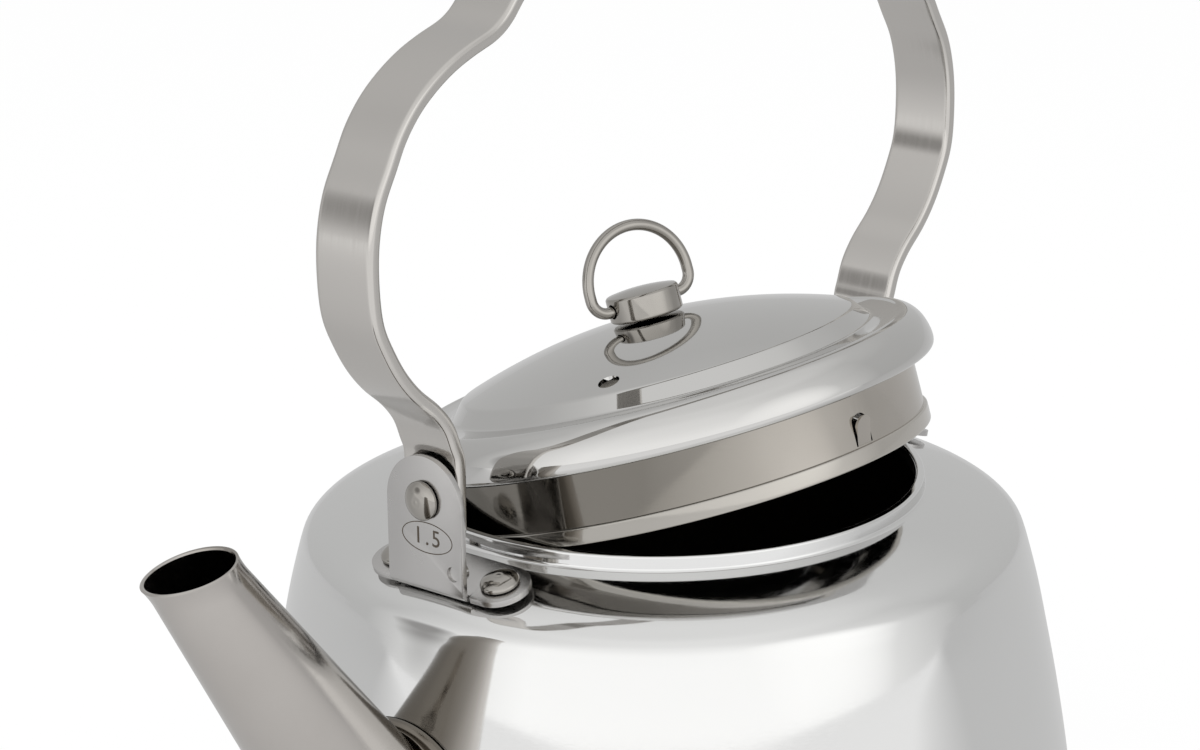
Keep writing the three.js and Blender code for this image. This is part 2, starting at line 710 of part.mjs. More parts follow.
function knobScrew() {
  const headTop = lidCrownHeight - lidSheet - joinGap;
  const shankTop = knobBottom + screwLength - knobHoleRise;
  const profile = [
    [0, headTop - screwHeadHeight], [screwHeadRadius * 0.75, headTop - screwHeadHeight * 0.85],
    [screwHeadRadius, headTop - screwHeadHeight * 0.3], [screwHeadRadius, headTop],
    [screwRadius, headTop], [screwRadius, shankTop], [0, shankTop],
  ];
  return revolve(profile, smallSides);
}

// Ring: round wire bent to a D, with both ends turned in to the knob's cross hole
function knobRing() {
  const endAt = knobRadius - ringEndDepth;
  const line = [[endAt, 0], ...arc(ringHalfWidth - ringBend, ringBend, ringBend, -90, 0, 4),
    ...arc(0, ringLeg, ringHalfWidth, 0, 180, 16),
    ...arc(-ringHalfWidth + ringBend, ringBend, ringBend, 180, 270, 4), [-endAt, 0]];
  const rings = line.map(([across, up], index) => {
    const before = line[Math.max(index - 1, 0)];
    const after = line[Math.min(index + 1, line.length - 1)];
    const length = Math.hypot(after[0] - before[0], after[1] - before[1]);
    const normalX = -(after[1] - before[1]) / length;
    const normalZ = (after[0] - before[0]) / length;
    const ring = [];
    const sides = 8;
    for (let side = 0; side < sides; side += 1) {
      const angle = Math.PI * 2 * side / sides;
      const off = Math.cos(angle) * ringWireRadius;
      ring.push(new THREE.Vector3(across + normalX * off, -Math.sin(angle) * ringWireRadius, up + normalZ * off));
    }
    return ring;
  });
  const geometry = loftLoops(rings, false);
  geometry.rotateZ(ringAzimuth);
  geometry.translate(0, 0, ringHeight);
  return geometry;
}

// Base pan: the flat bottom with a rounded corner, butted to the foot of the body
function basePan() {
  const flatRadius = baseRadius - baseCornerRadius;
  const profile = [
    [0, 0], [flatRadius, 0],
    ...arc(flatRadius, baseCornerRadius, baseCornerRadius, -67.5, 0, 3),
    [baseRadius, baseLip], [baseRadius - sheet, baseLip],
    ...arc(flatRadius, baseCornerRadius, baseCornerRadius - sheet, 0, -90, 3),
    [0, sheet],
  ];
  return revolve(profile, roundSides);
}

// Assembly
let shell = toSolid(bodyShell());
for (const hole of strainerHoles()) shell = shell.subtract(hole);

const tailLean = Math.sin(footSlope) * footLobeSpread / Math.hypot(footRivetReach, footLobeSpread);
const footGrip = earSheet + footSag + sheet + joinGap * 2 + rivetTailRadius * tailLean;
const pivotGrip = earSheet + earToHandleGap + handleThickness + joinGap * 2;
for (const [earName, turn] of [['Front', 0], ['Back', Math.PI]]) {
  const side = new THREE.Group();
  side.rotation.z = turn;
  kettle.add(side);
  addMesh(side, `ear${earName}`, toGeometry(earSolid()), satinSteel);
  footRivetPlaces().forEach((place, index) => {
    const name = `footRivet${earName}${index + 1}`;
    const geometry = rivet(footGrip);
    geometry.rotateY(-footSlope);
    geometry.translate(...place.clone().addScaledVector(footNormal, joinGap).toArray());
    addMesh(side, name, geometry, steel);
    const bore = rod(rivetShankRadius + boreClearance, footGrip * 2, footNormal, place, smallSides);
    bore.rotateZ(turn);
    shell = shell.subtract(toSolid(bore));
  });
  const pin = rivet(pivotGrip);
  pin.rotateY(-Math.PI / 2);
  pin.translate(-earReach - joinGap, 0, pivotHeight);
  addMesh(side, `pivotRivet${earName}`, pin, steel);
}
addMesh(kettle, 'body', toGeometry(shell), steel);
addMesh(kettle, 'basePan', basePan(), steel);
addMesh(kettle, 'spout', spoutTube(), steel);
addMesh(kettle, 'handle', handleBand(), satinSteel);

const lid = new THREE.Group();
lid.position.set(0, lidShiftY, bodyHeight + lidLift);
lid.quaternion.setFromAxisAngle(
  new THREE.Vector3(-Math.sin(lidLeanAzimuth), Math.cos(lidLeanAzimuth), 0), lidTilt);
kettle.add(lid);
addMesh(lid, 'lidCover', lidCover(), steel);
addMesh(lid, 'lidSkirt', lidSkirt(), steel);
addMesh(lid, 'knob', knobDisc(), steel);
addMesh(lid, 'knobScrew', knobScrew(), steel);
addMesh(lid, 'knobRing', knobRing(), steel);

export default kettle;
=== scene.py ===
import bmesh
import bpy
import numpy as np
from mathutils import Matrix, Vector


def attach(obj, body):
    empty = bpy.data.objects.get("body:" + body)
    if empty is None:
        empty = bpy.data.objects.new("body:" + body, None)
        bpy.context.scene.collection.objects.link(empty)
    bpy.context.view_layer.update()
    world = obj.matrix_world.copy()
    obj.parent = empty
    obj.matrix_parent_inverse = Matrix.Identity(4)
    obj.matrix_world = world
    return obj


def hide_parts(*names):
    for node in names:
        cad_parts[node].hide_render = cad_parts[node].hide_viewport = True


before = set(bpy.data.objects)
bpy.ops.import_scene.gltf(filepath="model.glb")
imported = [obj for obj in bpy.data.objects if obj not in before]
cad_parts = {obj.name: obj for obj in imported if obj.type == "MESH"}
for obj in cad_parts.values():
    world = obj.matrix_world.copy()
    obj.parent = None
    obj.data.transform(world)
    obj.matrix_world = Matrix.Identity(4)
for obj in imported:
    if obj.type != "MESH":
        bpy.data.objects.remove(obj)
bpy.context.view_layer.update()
print("frame loaded")
mm = 0.001
meshLimits = {"mergeWithin": 2e-7, "shortestEdge": 1e-7, "sharpAngle": 32}


# Shapes from numpy arrays

# A line through the given points: each span is a centripetal Catmull-Rom cubic, blended in three rounds.
def smoothLine(points, perSpan):
    points = np.asarray(points, float)
    padded = np.vstack([2 * points[0] - points[1], points, 2 * points[-1] - points[-2]])
    p = [padded[k:len(padded) - 3 + k, None] for k in range(4)]
    knots = [0]
    for here, after in zip(p, p[1:]):
        knots.append(knots[-1] + (np.sqrt(np.linalg.norm(after - here, axis=-1, keepdims=True)) + 1e-9))
    t = knots[1] + (knots[2] - knots[1]) * np.linspace(0, 1, perSpan, endpoint=False)[None, :, None]
    between = lambda a, b, i, j: a + (b - a) * (t - knots[i]) / (knots[j] - knots[i])
    a = [between(p[k], p[k + 1], k, k + 1) for k in range(3)]
    b = [between(a[k], a[k + 1], k, k + 2) for k in range(2)]
    return np.vstack([between(*b, 1, 2).reshape(-1, points.shape[1]), points[-1:]])


# Points of a circular arc between two angles in degrees.
def arcLine(centreX, centreY, radius, start, end, count):
    angle = np.radians(np.linspace(start, end, count))
    return np.column_stack([centreX + radius * np.cos(angle), centreY + radius * np.sin(angle)])


# Unit normals to the left of the given directions.
def leftOf(along):
    along = along / np.linalg.norm(along, axis=1, keepdims=True)
    return np.column_stack([-along[:, 1], along[:, 0]])


def wholeTurn(count):
    return np.linspace(0, 2 * np.pi, count, endpoint=False)


# The line moved sideways, to the left of its direction, by a distance.
def offsetLine(line, distance):
    return line + distance * leftOf(np.gradient(line, axis=0))


# A section carried along a line of x and z: each point lies off the line along its normal, at its own y.
def carried(line, along, off, y):
    normal = leftOf(along)
    return np.stack([line[:, :1] + normal[:, :1] * off, y, line[:, 1:] + normal[:, 1:] * off], axis=-1)


# A polyline whose corners are cut by a quadratic blend over the given length.
def softCorners(points, lengths, count=6):
    points = np.asarray(points, float)
    pieces = [points[:1]]
    t = np.linspace(0, 1, count)[:, None]
    for here, length, before, after in zip(points[1:-1], lengths, points[:-2], points[2:]):
        start = here + (before - here) / np.linalg.norm(before - here) * length
        end = here + (after - here) / np.linalg.norm(after - here) * length
        pieces.append((1 - t) ** 2 * start + 2 * t * (1 - t) * here + t ** 2 * end)
    pieces.append(points[-1:])
    return np.vstack(pieces)


# Quads between neighbouring rows and columns of a grid, which may close either way round.
def gridFaces(rows, columns, wrapRows, wrapColumns):
    row, column = np.meshgrid(np.arange(rows if wrapRows else rows - 1),
                              np.arange(columns if wrapColumns else columns - 1), indexing="ij")
    nextRow, nextColumn = (row + 1) % rows, (column + 1) % columns
    return np.stack([row * columns + column, nextRow * columns + column,
                     nextRow * columns + nextColumn, row * columns + nextColumn], axis=-1).reshape(-1, 4)


def newObject(name, data):
    made = bpy.data.objects.new(name, data)
    bpy.context.scene.collection.objects.link(made)
    return made


def setAll(thing, **settings):
    for name, value in settings.items():
        setattr(thing, name, value)


# Faces are turned outwards, after doubles are merged where asked.
def cleanMesh(mesh, merge=True):
    work = bmesh.new()
    work.from_mesh(mesh)
    if merge:
        bmesh.ops.remove_doubles(work, verts=work.verts, dist=meshLimits["mergeWithin"])
        bmesh.ops.dissolve_degenerate(work, edges=work.edges, dist=meshLimits["shortestEdge"])
    bmesh.ops.recalc_face_normals(work, faces=work.faces)
    work.to_mesh(mesh)
    work.free()


# Smooth all over, apart from the edges that turn by more than the angle.
def shade(mesh, sharpAngle):
    mesh.shade_smooth()
    mesh.set_sharp_from_angle(angle=np.radians(sharpAngle))


# Points in millimetres and their faces, made a clean mesh in metres.
def meshObject(name, points, faces, sharpAngle=meshLimits["sharpAngle"]):
    mesh = bpy.data.meshes.new(name)
    mesh.from_pydata((np.asarray(points).reshape(-1, 3) * mm).tolist(), [], [list(face) for face in faces])
    cleanMesh(mesh)
    shade(mesh, sharpAngle)
    return newObject(name, mesh)


# An outline of radius and height, turned once round the Z axis; the place then turns and moves it.
# Its ends are joined unless both lie on the axis.
def turned(name, profile, sides, place=(np.eye(3), 0), sharpAngle=meshLimits["sharpAngle"]):
    angle = wholeTurn(sides)[None, :]
    radius, height = np.asarray(profile)[:, :1], np.asarray(profile)[:, 1:]
    grid = np.stack([radius * np.cos(angle), radius * np.sin(angle), height + 0 * angle], axis=-1)
    closed = profile[0][0] > 0 or profile[-1][0] > 0
    faces = gridFaces(len(grid), sides, closed, True)
    return meshObject(name, grid @ place[0].T + place[1], faces, sharpAngle)


# The direction at a turn about the Z axis and a height, both in degrees.
def heading(turn, height=0):
    turn, height = np.radians(turn), np.radians(height)
    return np.array([np.cos(turn) * np.cos(height), np.sin(turn) * np.cos(height), np.sin(height)])


def turnAboutZ(degrees):
    return np.array(Matrix.Rotation(np.radians(degrees), 3, "Z"))


# A cutter or stub: a straight rod between two points.
def rod(name, start, end, radius, sides=48):
    start, end = np.asarray(start, float), np.asarray(end, float)
    length = np.linalg.norm(end - start)
    along = (end - start) / length
    aside = np.cross(along, [0, 0, 1] if abs(along[2]) < 0.9 else [1, 0, 0])
    aside /= np.linalg.norm(aside)
    axes = np.column_stack([aside, np.cross(along, aside), along])
    profile = [[0, 0], [radius, 0], [radius, length], [0, length]]
    return turned(name, profile, sides, (axes, start))


def bakeModifiers(piece):
    depsgraph = bpy.context.evaluated_depsgraph_get()
    mesh = bpy.data.meshes.new_from_object(piece.evaluated_get(depsgraph))
    piece.modifiers.clear()
    old = piece.data
    piece.data = mesh
    bpy.data.meshes.remove(old)
    shade(mesh, meshLimits["sharpAngle"])


# Cuts the given solids from the piece, or joins them to it, and removes them.
def combine(piece, solids, operation="DIFFERENCE"):
    for solid in solids:
        cut = piece.modifiers.new(solid.name, "BOOLEAN")
        setAll(cut, operation=operation, solver="EXACT", object=solid)
    bakeModifiers(piece)
    for solid in solids:
        bpy.data.objects.remove(solid)


# Gives a piece its material, in a slot of its own, and its body, and hides the CAD node that it stands for.
def finishPiece(piece, body, node, material):
    piece.data.materials.clear()
    piece.data.materials.append(material)
    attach(piece, body)
    if node:
        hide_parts(node)


# The second material, painted shade, goes on the faces below the rim whose normal points to the hollow's
# middle.
def paintInsideShade(piece, material):
    mesh = piece.data
    mesh.materials.append(material)
    centres = np.empty(len(mesh.polygons) * 3, dtype=np.float32)
    normals = np.empty_like(centres)
    mesh.polygons.foreach_get("center", centres)
    mesh.polygons.foreach_get("normal", normals)
    centres, normals = centres.reshape(-1, 3), normals.reshape(-1, 3)
    middle, top = np.array(bodySizes["hollowMiddle"]) * mm, bodySizes["hollowTop"] * mm
    inward = (((centres - middle) * normals).sum(axis=1) < 0) & (centres[:, 2] < top)
    mesh.polygons.foreach_set("material_index", inward.astype(np.int32))


# Materials

# A node's inputs are linked where the value is a socket, and else set; a colour is given as three numbers.
def setInputs(tree, node, inputs):
    for key, value in inputs.items():
        socket = node.inputs[key]
        if isinstance(value, bpy.types.NodeSocket):
            tree.links.new(value, socket)
        else:
            socket.default_value = (*value, 1) if socket.type == "RGBA" else value


# Adds a node of a kind and returns one of its outputs.
def addNode(tree, kind, output, inputs, **settings):
    node = tree.nodes.new("ShaderNode" + kind)
    setAll(node, **settings)
    setInputs(tree, node, inputs)
    return node.outputs[output]


def noiseOn(tree, vector, scale, detail, stretch=(1, 1, 1)):
    place = addNode(tree, "Mapping", "Vector", {"Vector": vector, "Scale": stretch})
    return addNode(tree, "TexNoise", "Fac", {"Vector": place, "Scale": scale, "Detail": detail})


# One range of values stretched over another.
def spread(tree, source, low, high, fromLow=0.3, fromHigh=0.7):
    ranges = {"From Min": fromLow, "From Max": fromHigh, "To Min": low, "To Max": high}
    return addNode(tree, "MapRange", "Result", {"Value": source, **ranges})


def blend(tree, factor, first, second):
    return addNode(tree, "Mix", "Result", {"Factor": factor, "A": first, "B": second}, data_type="RGBA")


# The share is 0 up to the low value of place times direction, and the most from the high value on.
def shareAlong(tree, place, direction, low, high, most=1):
    dot = addNode(tree, "VectorMath", "Value", {0: place, 1: direction}, operation="DOT_PRODUCT")
    return spread(tree, dot, 0, most, low, high)


def combineValues(tree, operation, first, second):
    return addNode(tree, "Math", "Value", {0: first, 1: second}, operation=operation)


def bumpFrom(tree, height, strength, distance):
    return addNode(tree, "Bump", "Normal", {"Height": height, "Strength": strength, "Distance": distance})


def newMetal(name, look):
    material = bpy.data.materials.new(name)
    material.use_nodes = True
    shader = material.node_tree.nodes["Principled BSDF"]
    plain = {"Base Color": look["light"], "Metallic": 1, "Roughness": look["gloss"][0]}
    setInputs(material.node_tree, shader, plain)
    return material, material.node_tree, shader


# Polished sheet: faint smudges change the colour and the gloss, a very fine grain (its scale, strength
# and depth) tilts the surface, and each band of painted light or shade covers the colour by a share that
# grows along a direction.
def polishedSheet(name, look):
    material, tree, shader = newMetal(name, look)
    place = addNode(tree, "TexCoord", "Object", {})
    smudge = noiseOn(tree, place, look["smudgeScale"], 4)
    colour = blend(tree, smudge, look["dark"], look["light"])
    for paintedBand in look.get("paintedLightBands", []):
        share = shareAlong(tree, place, paintedBand["along"], paintedBand["low"], paintedBand["high"], paintedBand["most"])
        colour = blend(tree, share, colour, paintedBand["colour"])
    scale, strength, depth = look["grain"]
    grain = noiseOn(tree, place, scale, 3, look.get("grainStretch", (1, 1, 1)))
    mixed = combineValues(tree, "MULTIPLY", smudge, grain)
    setInputs(tree, shader, {
        "Base Color": colour,
        "Roughness": spread(tree, mixed, *look["gloss"], 0.12, 0.4),
        "Normal": bumpFrom(tree, grain, strength, depth)})
    return material


# Brushed strip: streaks run along the strip, on its own lengthwise UV map.
def brushedStrip(name, look):
    material, tree, shader = newMetal(name, look)
    place = addNode(tree, "UVMap", "UV", {}, uv_map="along")
    streak = noiseOn(tree, place, look["streakScale"], 5, look["streakStretch"])
    patch = noiseOn(tree, place, look["patchScale"], 3)
    setInputs(tree, shader, {
        "Base Color": blend(tree, patch, look["dark"], look["light"]),
        "Roughness": spread(tree, streak, *look["gloss"]),
        "Normal": bumpFrom(tree, streak, look["streakStrength"], look["streakDepth"])})
    return material


lidSteel = polishedSheet("mirrorPolishedLid", {
    "light": (0.64, 0.635, 0.625), "dark": (0.60, 0.593, 0.58), "gloss": (0.02, 0.06),
    "smudgeScale": 38, "grain": (900, 0.02, 1e-5)})
bodySteel = polishedSheet("polishedBody", {
    "light": (0.78, 0.78, 0.776), "dark": (0.74, 0.739, 0.732), "gloss": (0.04, 0.10),
    "smudgeScale": 22, "grain": (700, 0.02, 1e-5), "grainStretch": (1, 1, 6)})
# Painted shade: the dark colour inside the hollow stands in for the shade there; the higher roughness is
# the unpolished inside.
insideShadeSteel = polishedSheet("paintedShadeInside", {
    "light": (0.20, 0.19, 0.18), "dark": (0.14, 0.13, 0.12), "gloss": (0.35, 0.5),
    "smudgeScale": 40, "grain": (600, 0.1, 2e-5), "grainStretch": (1, 1, 8)})
# Painted shade: the spout's base colour is darker than the lid's, and a dark brown band is painted on the
# upper side of the tube near its root, where it faces the body.
spoutSteel = polishedSheet("polishedSpout", {
    "light": (0.54, 0.515, 0.49), "dark": (0.48, 0.455, 0.43), "gloss": (0.10, 0.18),
    "paintedLightBands": [{"along": (0.813, 0, 0.582), "low": -0.026, "high": -0.019, "most": 1,
                "colour": (0.20, 0.18, 0.155)}],
    "smudgeScale": 60, "grain": (800, 0.04, 2e-5)})
# The skirt's base colour is darker than the lid's: partly its duller finish, partly painted shade standing
# in for darker surroundings.
skirtSteel = polishedSheet("rolledSkirt", {
    "light": (0.54, 0.51, 0.47), "dark": (0.47, 0.44, 0.40), "gloss": (0.06, 0.14),
    # Painted reflection: this band darkens the skirt towards the camera's left and front.
    "paintedLightBands": [{"along": (-0.661, 0.75, 0), "low": -0.037, "high": 0.004, "most": 1,
                "colour": (0.20, 0.187, 0.167)},
               # Painted reflection: this band lightens the hem at the bottom of the skirt.
               {"along": (0.0463, -0.2734, -0.9608), "low": -0.0972, "high": -0.0970, "most": 0.45,
                "colour": (0.64, 0.62, 0.58)}],
    "smudgeScale": 90, "grain": (500, 0.05, 2e-5), "grainStretch": (1, 1, 8)})
wireSteel = polishedSheet("polishedWire", {
    "light": (0.43, 0.412, 0.385), "dark": (0.33, 0.313, 0.288), "gloss": (0.05, 0.11),
    "smudgeScale": 160, "grain": (900, 0.04, 2e-5)})
earSteel = polishedSheet("tumbledEar", {
    "light": (0.56, 0.55, 0.54), "dark": (0.51, 0.50, 0.49), "gloss": (0.20, 0.28),
    "smudgeScale": 120, "grain": (300, 0.01, 1e-5)})
markSteel = polishedSheet("etchedMark", {
    "light": (0.20, 0.17, 0.14), "dark": (0.12, 0.10, 0.08), "gloss": (0.5, 0.7),
    "smudgeScale": 400, "grain": (3000, 0.1, 2e-5)})
handleSteel = brushedStrip("brushedHandle", {
    "light": (0.62, 0.60, 0.575), "dark": (0.56, 0.54, 0.515), "gloss": (0.10, 0.18),
    "streakScale": 60, "streakStretch": (0.4, 34, 1), "patchScale": 14,
    "streakStrength": 0.02, "streakDepth": 1e-5})
print("materials made")


# Body and bottom

bodySizes = {
    "height": 100, "baseRadius": 77.6, "mouthRadius": 46, "rimWidth": 1.7, "rimFold": 3, "rimRound": 0.5,
    "foldRound": 0.4, "collarHeight": 2.8, "collarFillet": 0.8, "wallTopRadius": 67, "shoulderDrop": 12.2,
    "sheet": 0.8, "domeSlope": 14, "footHeight": 5.3, "panRound": 4.6, "panHeight": 5, "sides": 192,
    "wallShares": [[1, 1], [0.93, 0.841], [0.849, 0.69], [0.708, 0.502], [0.509, 0.326], [0.297, 0.176],
                   [0.142, 0.075]],
    "shoulderShares": [[1, 1], [0.959, 0.77], [0.922, 0.615], [0.86, 0.492], [0.767, 0.385],
                       [0.653, 0.299], [0.503, 0.217], [0.326, 0.131], [0.171, 0.066]],
    "hollowMiddle": [0, 0, 50], "hollowTop": 98.5,
}
rimOuter = bodySizes["mouthRadius"] + bodySizes["rimWidth"]
ledgeHeight = bodySizes["height"] - bodySizes["collarHeight"]
domeSlope = np.radians(bodySizes["domeSlope"])
filletTangent = bodySizes["collarFillet"] * np.tan((np.pi / 2 - domeSlope) / 2)


# The outer line: the wall, then the shoulder up to the collar's fillet, as shares of the sizes above.
def bodyLine():
    size = bodySizes
    wallTop = ledgeHeight - size["shoulderDrop"]
    edge, foot = size["wallTopRadius"], size["footHeight"]
    wall, shoulder = np.array(size["wallShares"]), np.array(size["shoulderShares"])
    wall = np.column_stack([edge + (size["baseRadius"] - edge) * wall[:, 0],
                            wallTop - (wallTop - foot) * wall[:, 1]])
    shoulder = np.column_stack([rimOuter + (edge - rimOuter) * shoulder[:, 0],
                                ledgeHeight - size["shoulderDrop"] * shoulder[:, 1]])
    tangent = filletTangent * np.array([np.cos(domeSlope), -np.sin(domeSlope)])
    return smoothLine(np.vstack([wall, shoulder, [[rimOuter, ledgeHeight] + tangent]]), 8)


outerLine = bodyLine()


# The outer line, the collar's fillet, the rim, the fold under it, and the way back a sheet further in.
def bodyProfile():
    size = bodySizes
    fillet, edge, turnIn = size["collarFillet"], size["rimRound"], size["foldRound"]
    mouth, top, foldBottom = size["mouthRadius"], size["height"], size["height"] - size["rimFold"]
    centre = [rimOuter + fillet, ledgeHeight + filletTangent]
    domeTurn = 270 - size["domeSlope"]
    collar = arcLine(*centre, fillet, domeTurn, 180, 14)[1:]
    rim = np.vstack([arcLine(rimOuter - edge, top - edge, edge, 0, 90, 10),
                     arcLine(mouth + edge, top - edge, edge, 90, 180, 10)])
    fold = arcLine(mouth + turnIn, foldBottom + turnIn, turnIn, 180, 270, 6)
    innerFillet = fillet + size["sheet"]
    foldTurn = np.degrees(np.arcsin((centre[1] - foldBottom) / innerFillet))
    inside = arcLine(*centre, innerFillet, 180 + foldTurn, domeTurn, 8)
    inner = offsetLine(outerLine, size["sheet"])[::-1]
    return np.vstack([outerLine, collar, rim, fold, inside, inner[2::2], inner[-1:]])


spoutSizes = {
    "mouthReach": 117.4, "mouthHeight": 113, "rise": 54.4, "mouthRadius": 7.5, "taper": 0.086, "sheet": 0.7,
    "lipFlare": 0.5, "lipLength": 4.5, "lipRound": 0.12, "lipDrop": 0.1, "lipThin": 0.2, "rootFillet": 6,
    "flange": 3.2, "beadWidth": 2, "beadHeight": 0.9, "beadFullness": 0.7, "skewUpper": 0.47,
    "skewSide": -0.13, "gap": 0.3, "sides": 144, "holes": 6, "holeRadius": 2.1, "holePitch": 6,
}
rise = np.radians(spoutSizes["rise"])
spoutAxis = np.array([-np.cos(rise), 0, np.sin(rise)])
spoutUpper = np.array([np.sin(rise), 0, np.cos(rise)])
spoutSide = np.array([0, -1.0, 0])
spoutMouth = np.array([-spoutSizes["mouthReach"], 0, spoutSizes["mouthHeight"]])


def wallRadiusAt(height):
    return np.interp(height, outerLine[:, 1], outerLine[:, 0])


# A point at an angle round the spout's axis, a depth below the mouth, and a radius.
def spoutPoint(angle, depth, radius):
    angle, depth, radius = np.broadcast_arrays(angle, depth, radius)
    return (spoutMouth - depth[..., None] * spoutAxis + (np.cos(angle) * radius)[..., None] * spoutUpper
            + (np.sin(angle) * radius)[..., None] * spoutSide)


# The depth at which the spout's skin meets the wall, by halving the interval for all angles at once.
def meetingDepth(angle, inset, clearance):
    near, far = np.zeros_like(angle), np.full_like(angle, spoutSizes["mouthReach"])
    for halving in range(40):
        middle = (near + far) / 2
        point = spoutPoint(angle, middle, spoutSizes["mouthRadius"] + spoutSizes["taper"] * middle - inset)
        outside = np.hypot(point[..., 0], point[..., 1]) > wallRadiusAt(point[..., 2]) + clearance
        near, far = np.where(outside, middle, near), np.where(outside, far, middle)
    return near


# The point moved level, to or from the Z axis, until it lies a clearance off the wall.
def onWall(point, clearance):
    scale = (wallRadiusAt(point[..., 2]) + clearance) / np.hypot(point[..., 0], point[..., 1])
    return point * np.stack([scale, scale, np.ones_like(scale)], axis=-1)


earSizes = {
    "width": 17.3, "sheet": 1.1, "reach": 62.7, "top": 118.5, "bend": 1.6, "lobeRadius": 5.3,
    "lobeSpread": 11.7, "lobeOverlap": 0.35, "rivetReach": 56.2, "seat": 0.3, "pivotHeight": 110.7,
    "nib": [-6.4, 3.2], "nibRadius": 1.6, "nibRise": 1.35, "nibDent": 0.5, "edge": 0.22, "blankDrop": 9,
    "headRadius": 3.5, "headHeight": 1.75, "headRim": 0.18, "dimple": [0.5, 0.25, 0.07],
    "shankRadius": 1.8, "holePlay": 0.3, "tailRadius": 2.8, "tailHeight": 1.1, "footGrip": 3.4,
    "pivotGrip": 4.8, "footPlay": 0.25, "pivotPlay": 0.3,
}


# Slope and height of the dome at a radius near the collar.
def domeAt(radius):
    height = np.interp([radius - 1, radius, radius + 1], outerLine[::-1, 0], outerLine[::-1, 1])
    return np.arctan((height[0] - height[2]) / 2), height[1]


footSlope, footBase = domeAt(earSizes["rivetReach"])
footBase += earSizes["seat"] / np.cos(footSlope)
footAlong = np.array([np.cos(footSlope), 0, np.sin(footSlope)])
footNormal = np.array([-np.sin(footSlope), 0, np.cos(footSlope)])
footOrigin = np.array([-earSizes["rivetReach"], 0, footBase])
bendX = -earSizes["reach"] + earSizes["bend"]
bendZ = footBase + (bendX + earSizes["rivetReach"]) * np.tan(footSlope)
bendZ += earSizes["bend"] / np.cos(footSlope)


# One strainer hole in the middle of the spout's root and six round it, cut through the wall.
def strainerCutters():
    rootHeight = spoutPoint(0, meetingDepth(np.array([np.pi / 2]), 0, 0), 0)[0][2]
    turns = wholeTurn(spoutSizes["holes"])
    ring = spoutSizes["holePitch"] * np.column_stack([np.cos(turns), np.sin(turns)])
    cutters = []
    for index, (sideways, upwards) in enumerate(np.vstack([[[0, 0]], ring])):
        height = rootHeight + upwards
        across = -np.sqrt(wallRadiusAt(height) ** 2 - sideways ** 2)
        ends = [across - 3, sideways, height], [across + 4, sideways, height]
        cutters.append(rod(f"strainer{index}", *ends, spoutSizes["holeRadius"], 32))
    return cutters


def buildBody():
    size = bodySizes
    body = turned("body_shell", bodyProfile(), size["sides"])
    cutters = strainerCutters()
    holeRadius = earSizes["shankRadius"] + earSizes["holePlay"]
    for degrees in (0, 180):
        turn = turnAboutZ(degrees)
        for sign in (-1, 1):
            centre = footOrigin + [0, sign * earSizes["lobeSpread"], 0]
            cutters.append(rod(f"rivetHole{degrees}{sign}", turn @ (centre + 3 * footNormal),
                               turn @ (centre - 5 * footNormal), holeRadius))
    combine(body, cutters)
    finishPiece(body, "kettle", "body", bodySteel)
    paintInsideShade(body, insideShadeSteel)
    corner, sheet, radius = size["panRound"], size["sheet"], size["baseRadius"]
    flat = radius - corner
    profile = np.vstack([[[0, 0], [flat - 1, 0]], arcLine(flat, corner, corner, -90, 0, 20),
                         [[radius, size["panHeight"]], [radius - sheet, size["panHeight"]]],
                         arcLine(flat, corner, corner - sheet, 0, -90, 16), [[0, sheet]]])
    base = turned("base_pan", profile, size["sides"])
    finishPiece(base, "kettle", "basePan", bodySteel)
    paintInsideShade(base, insideShadeSteel)


buildBody()
print("body and bottom made")


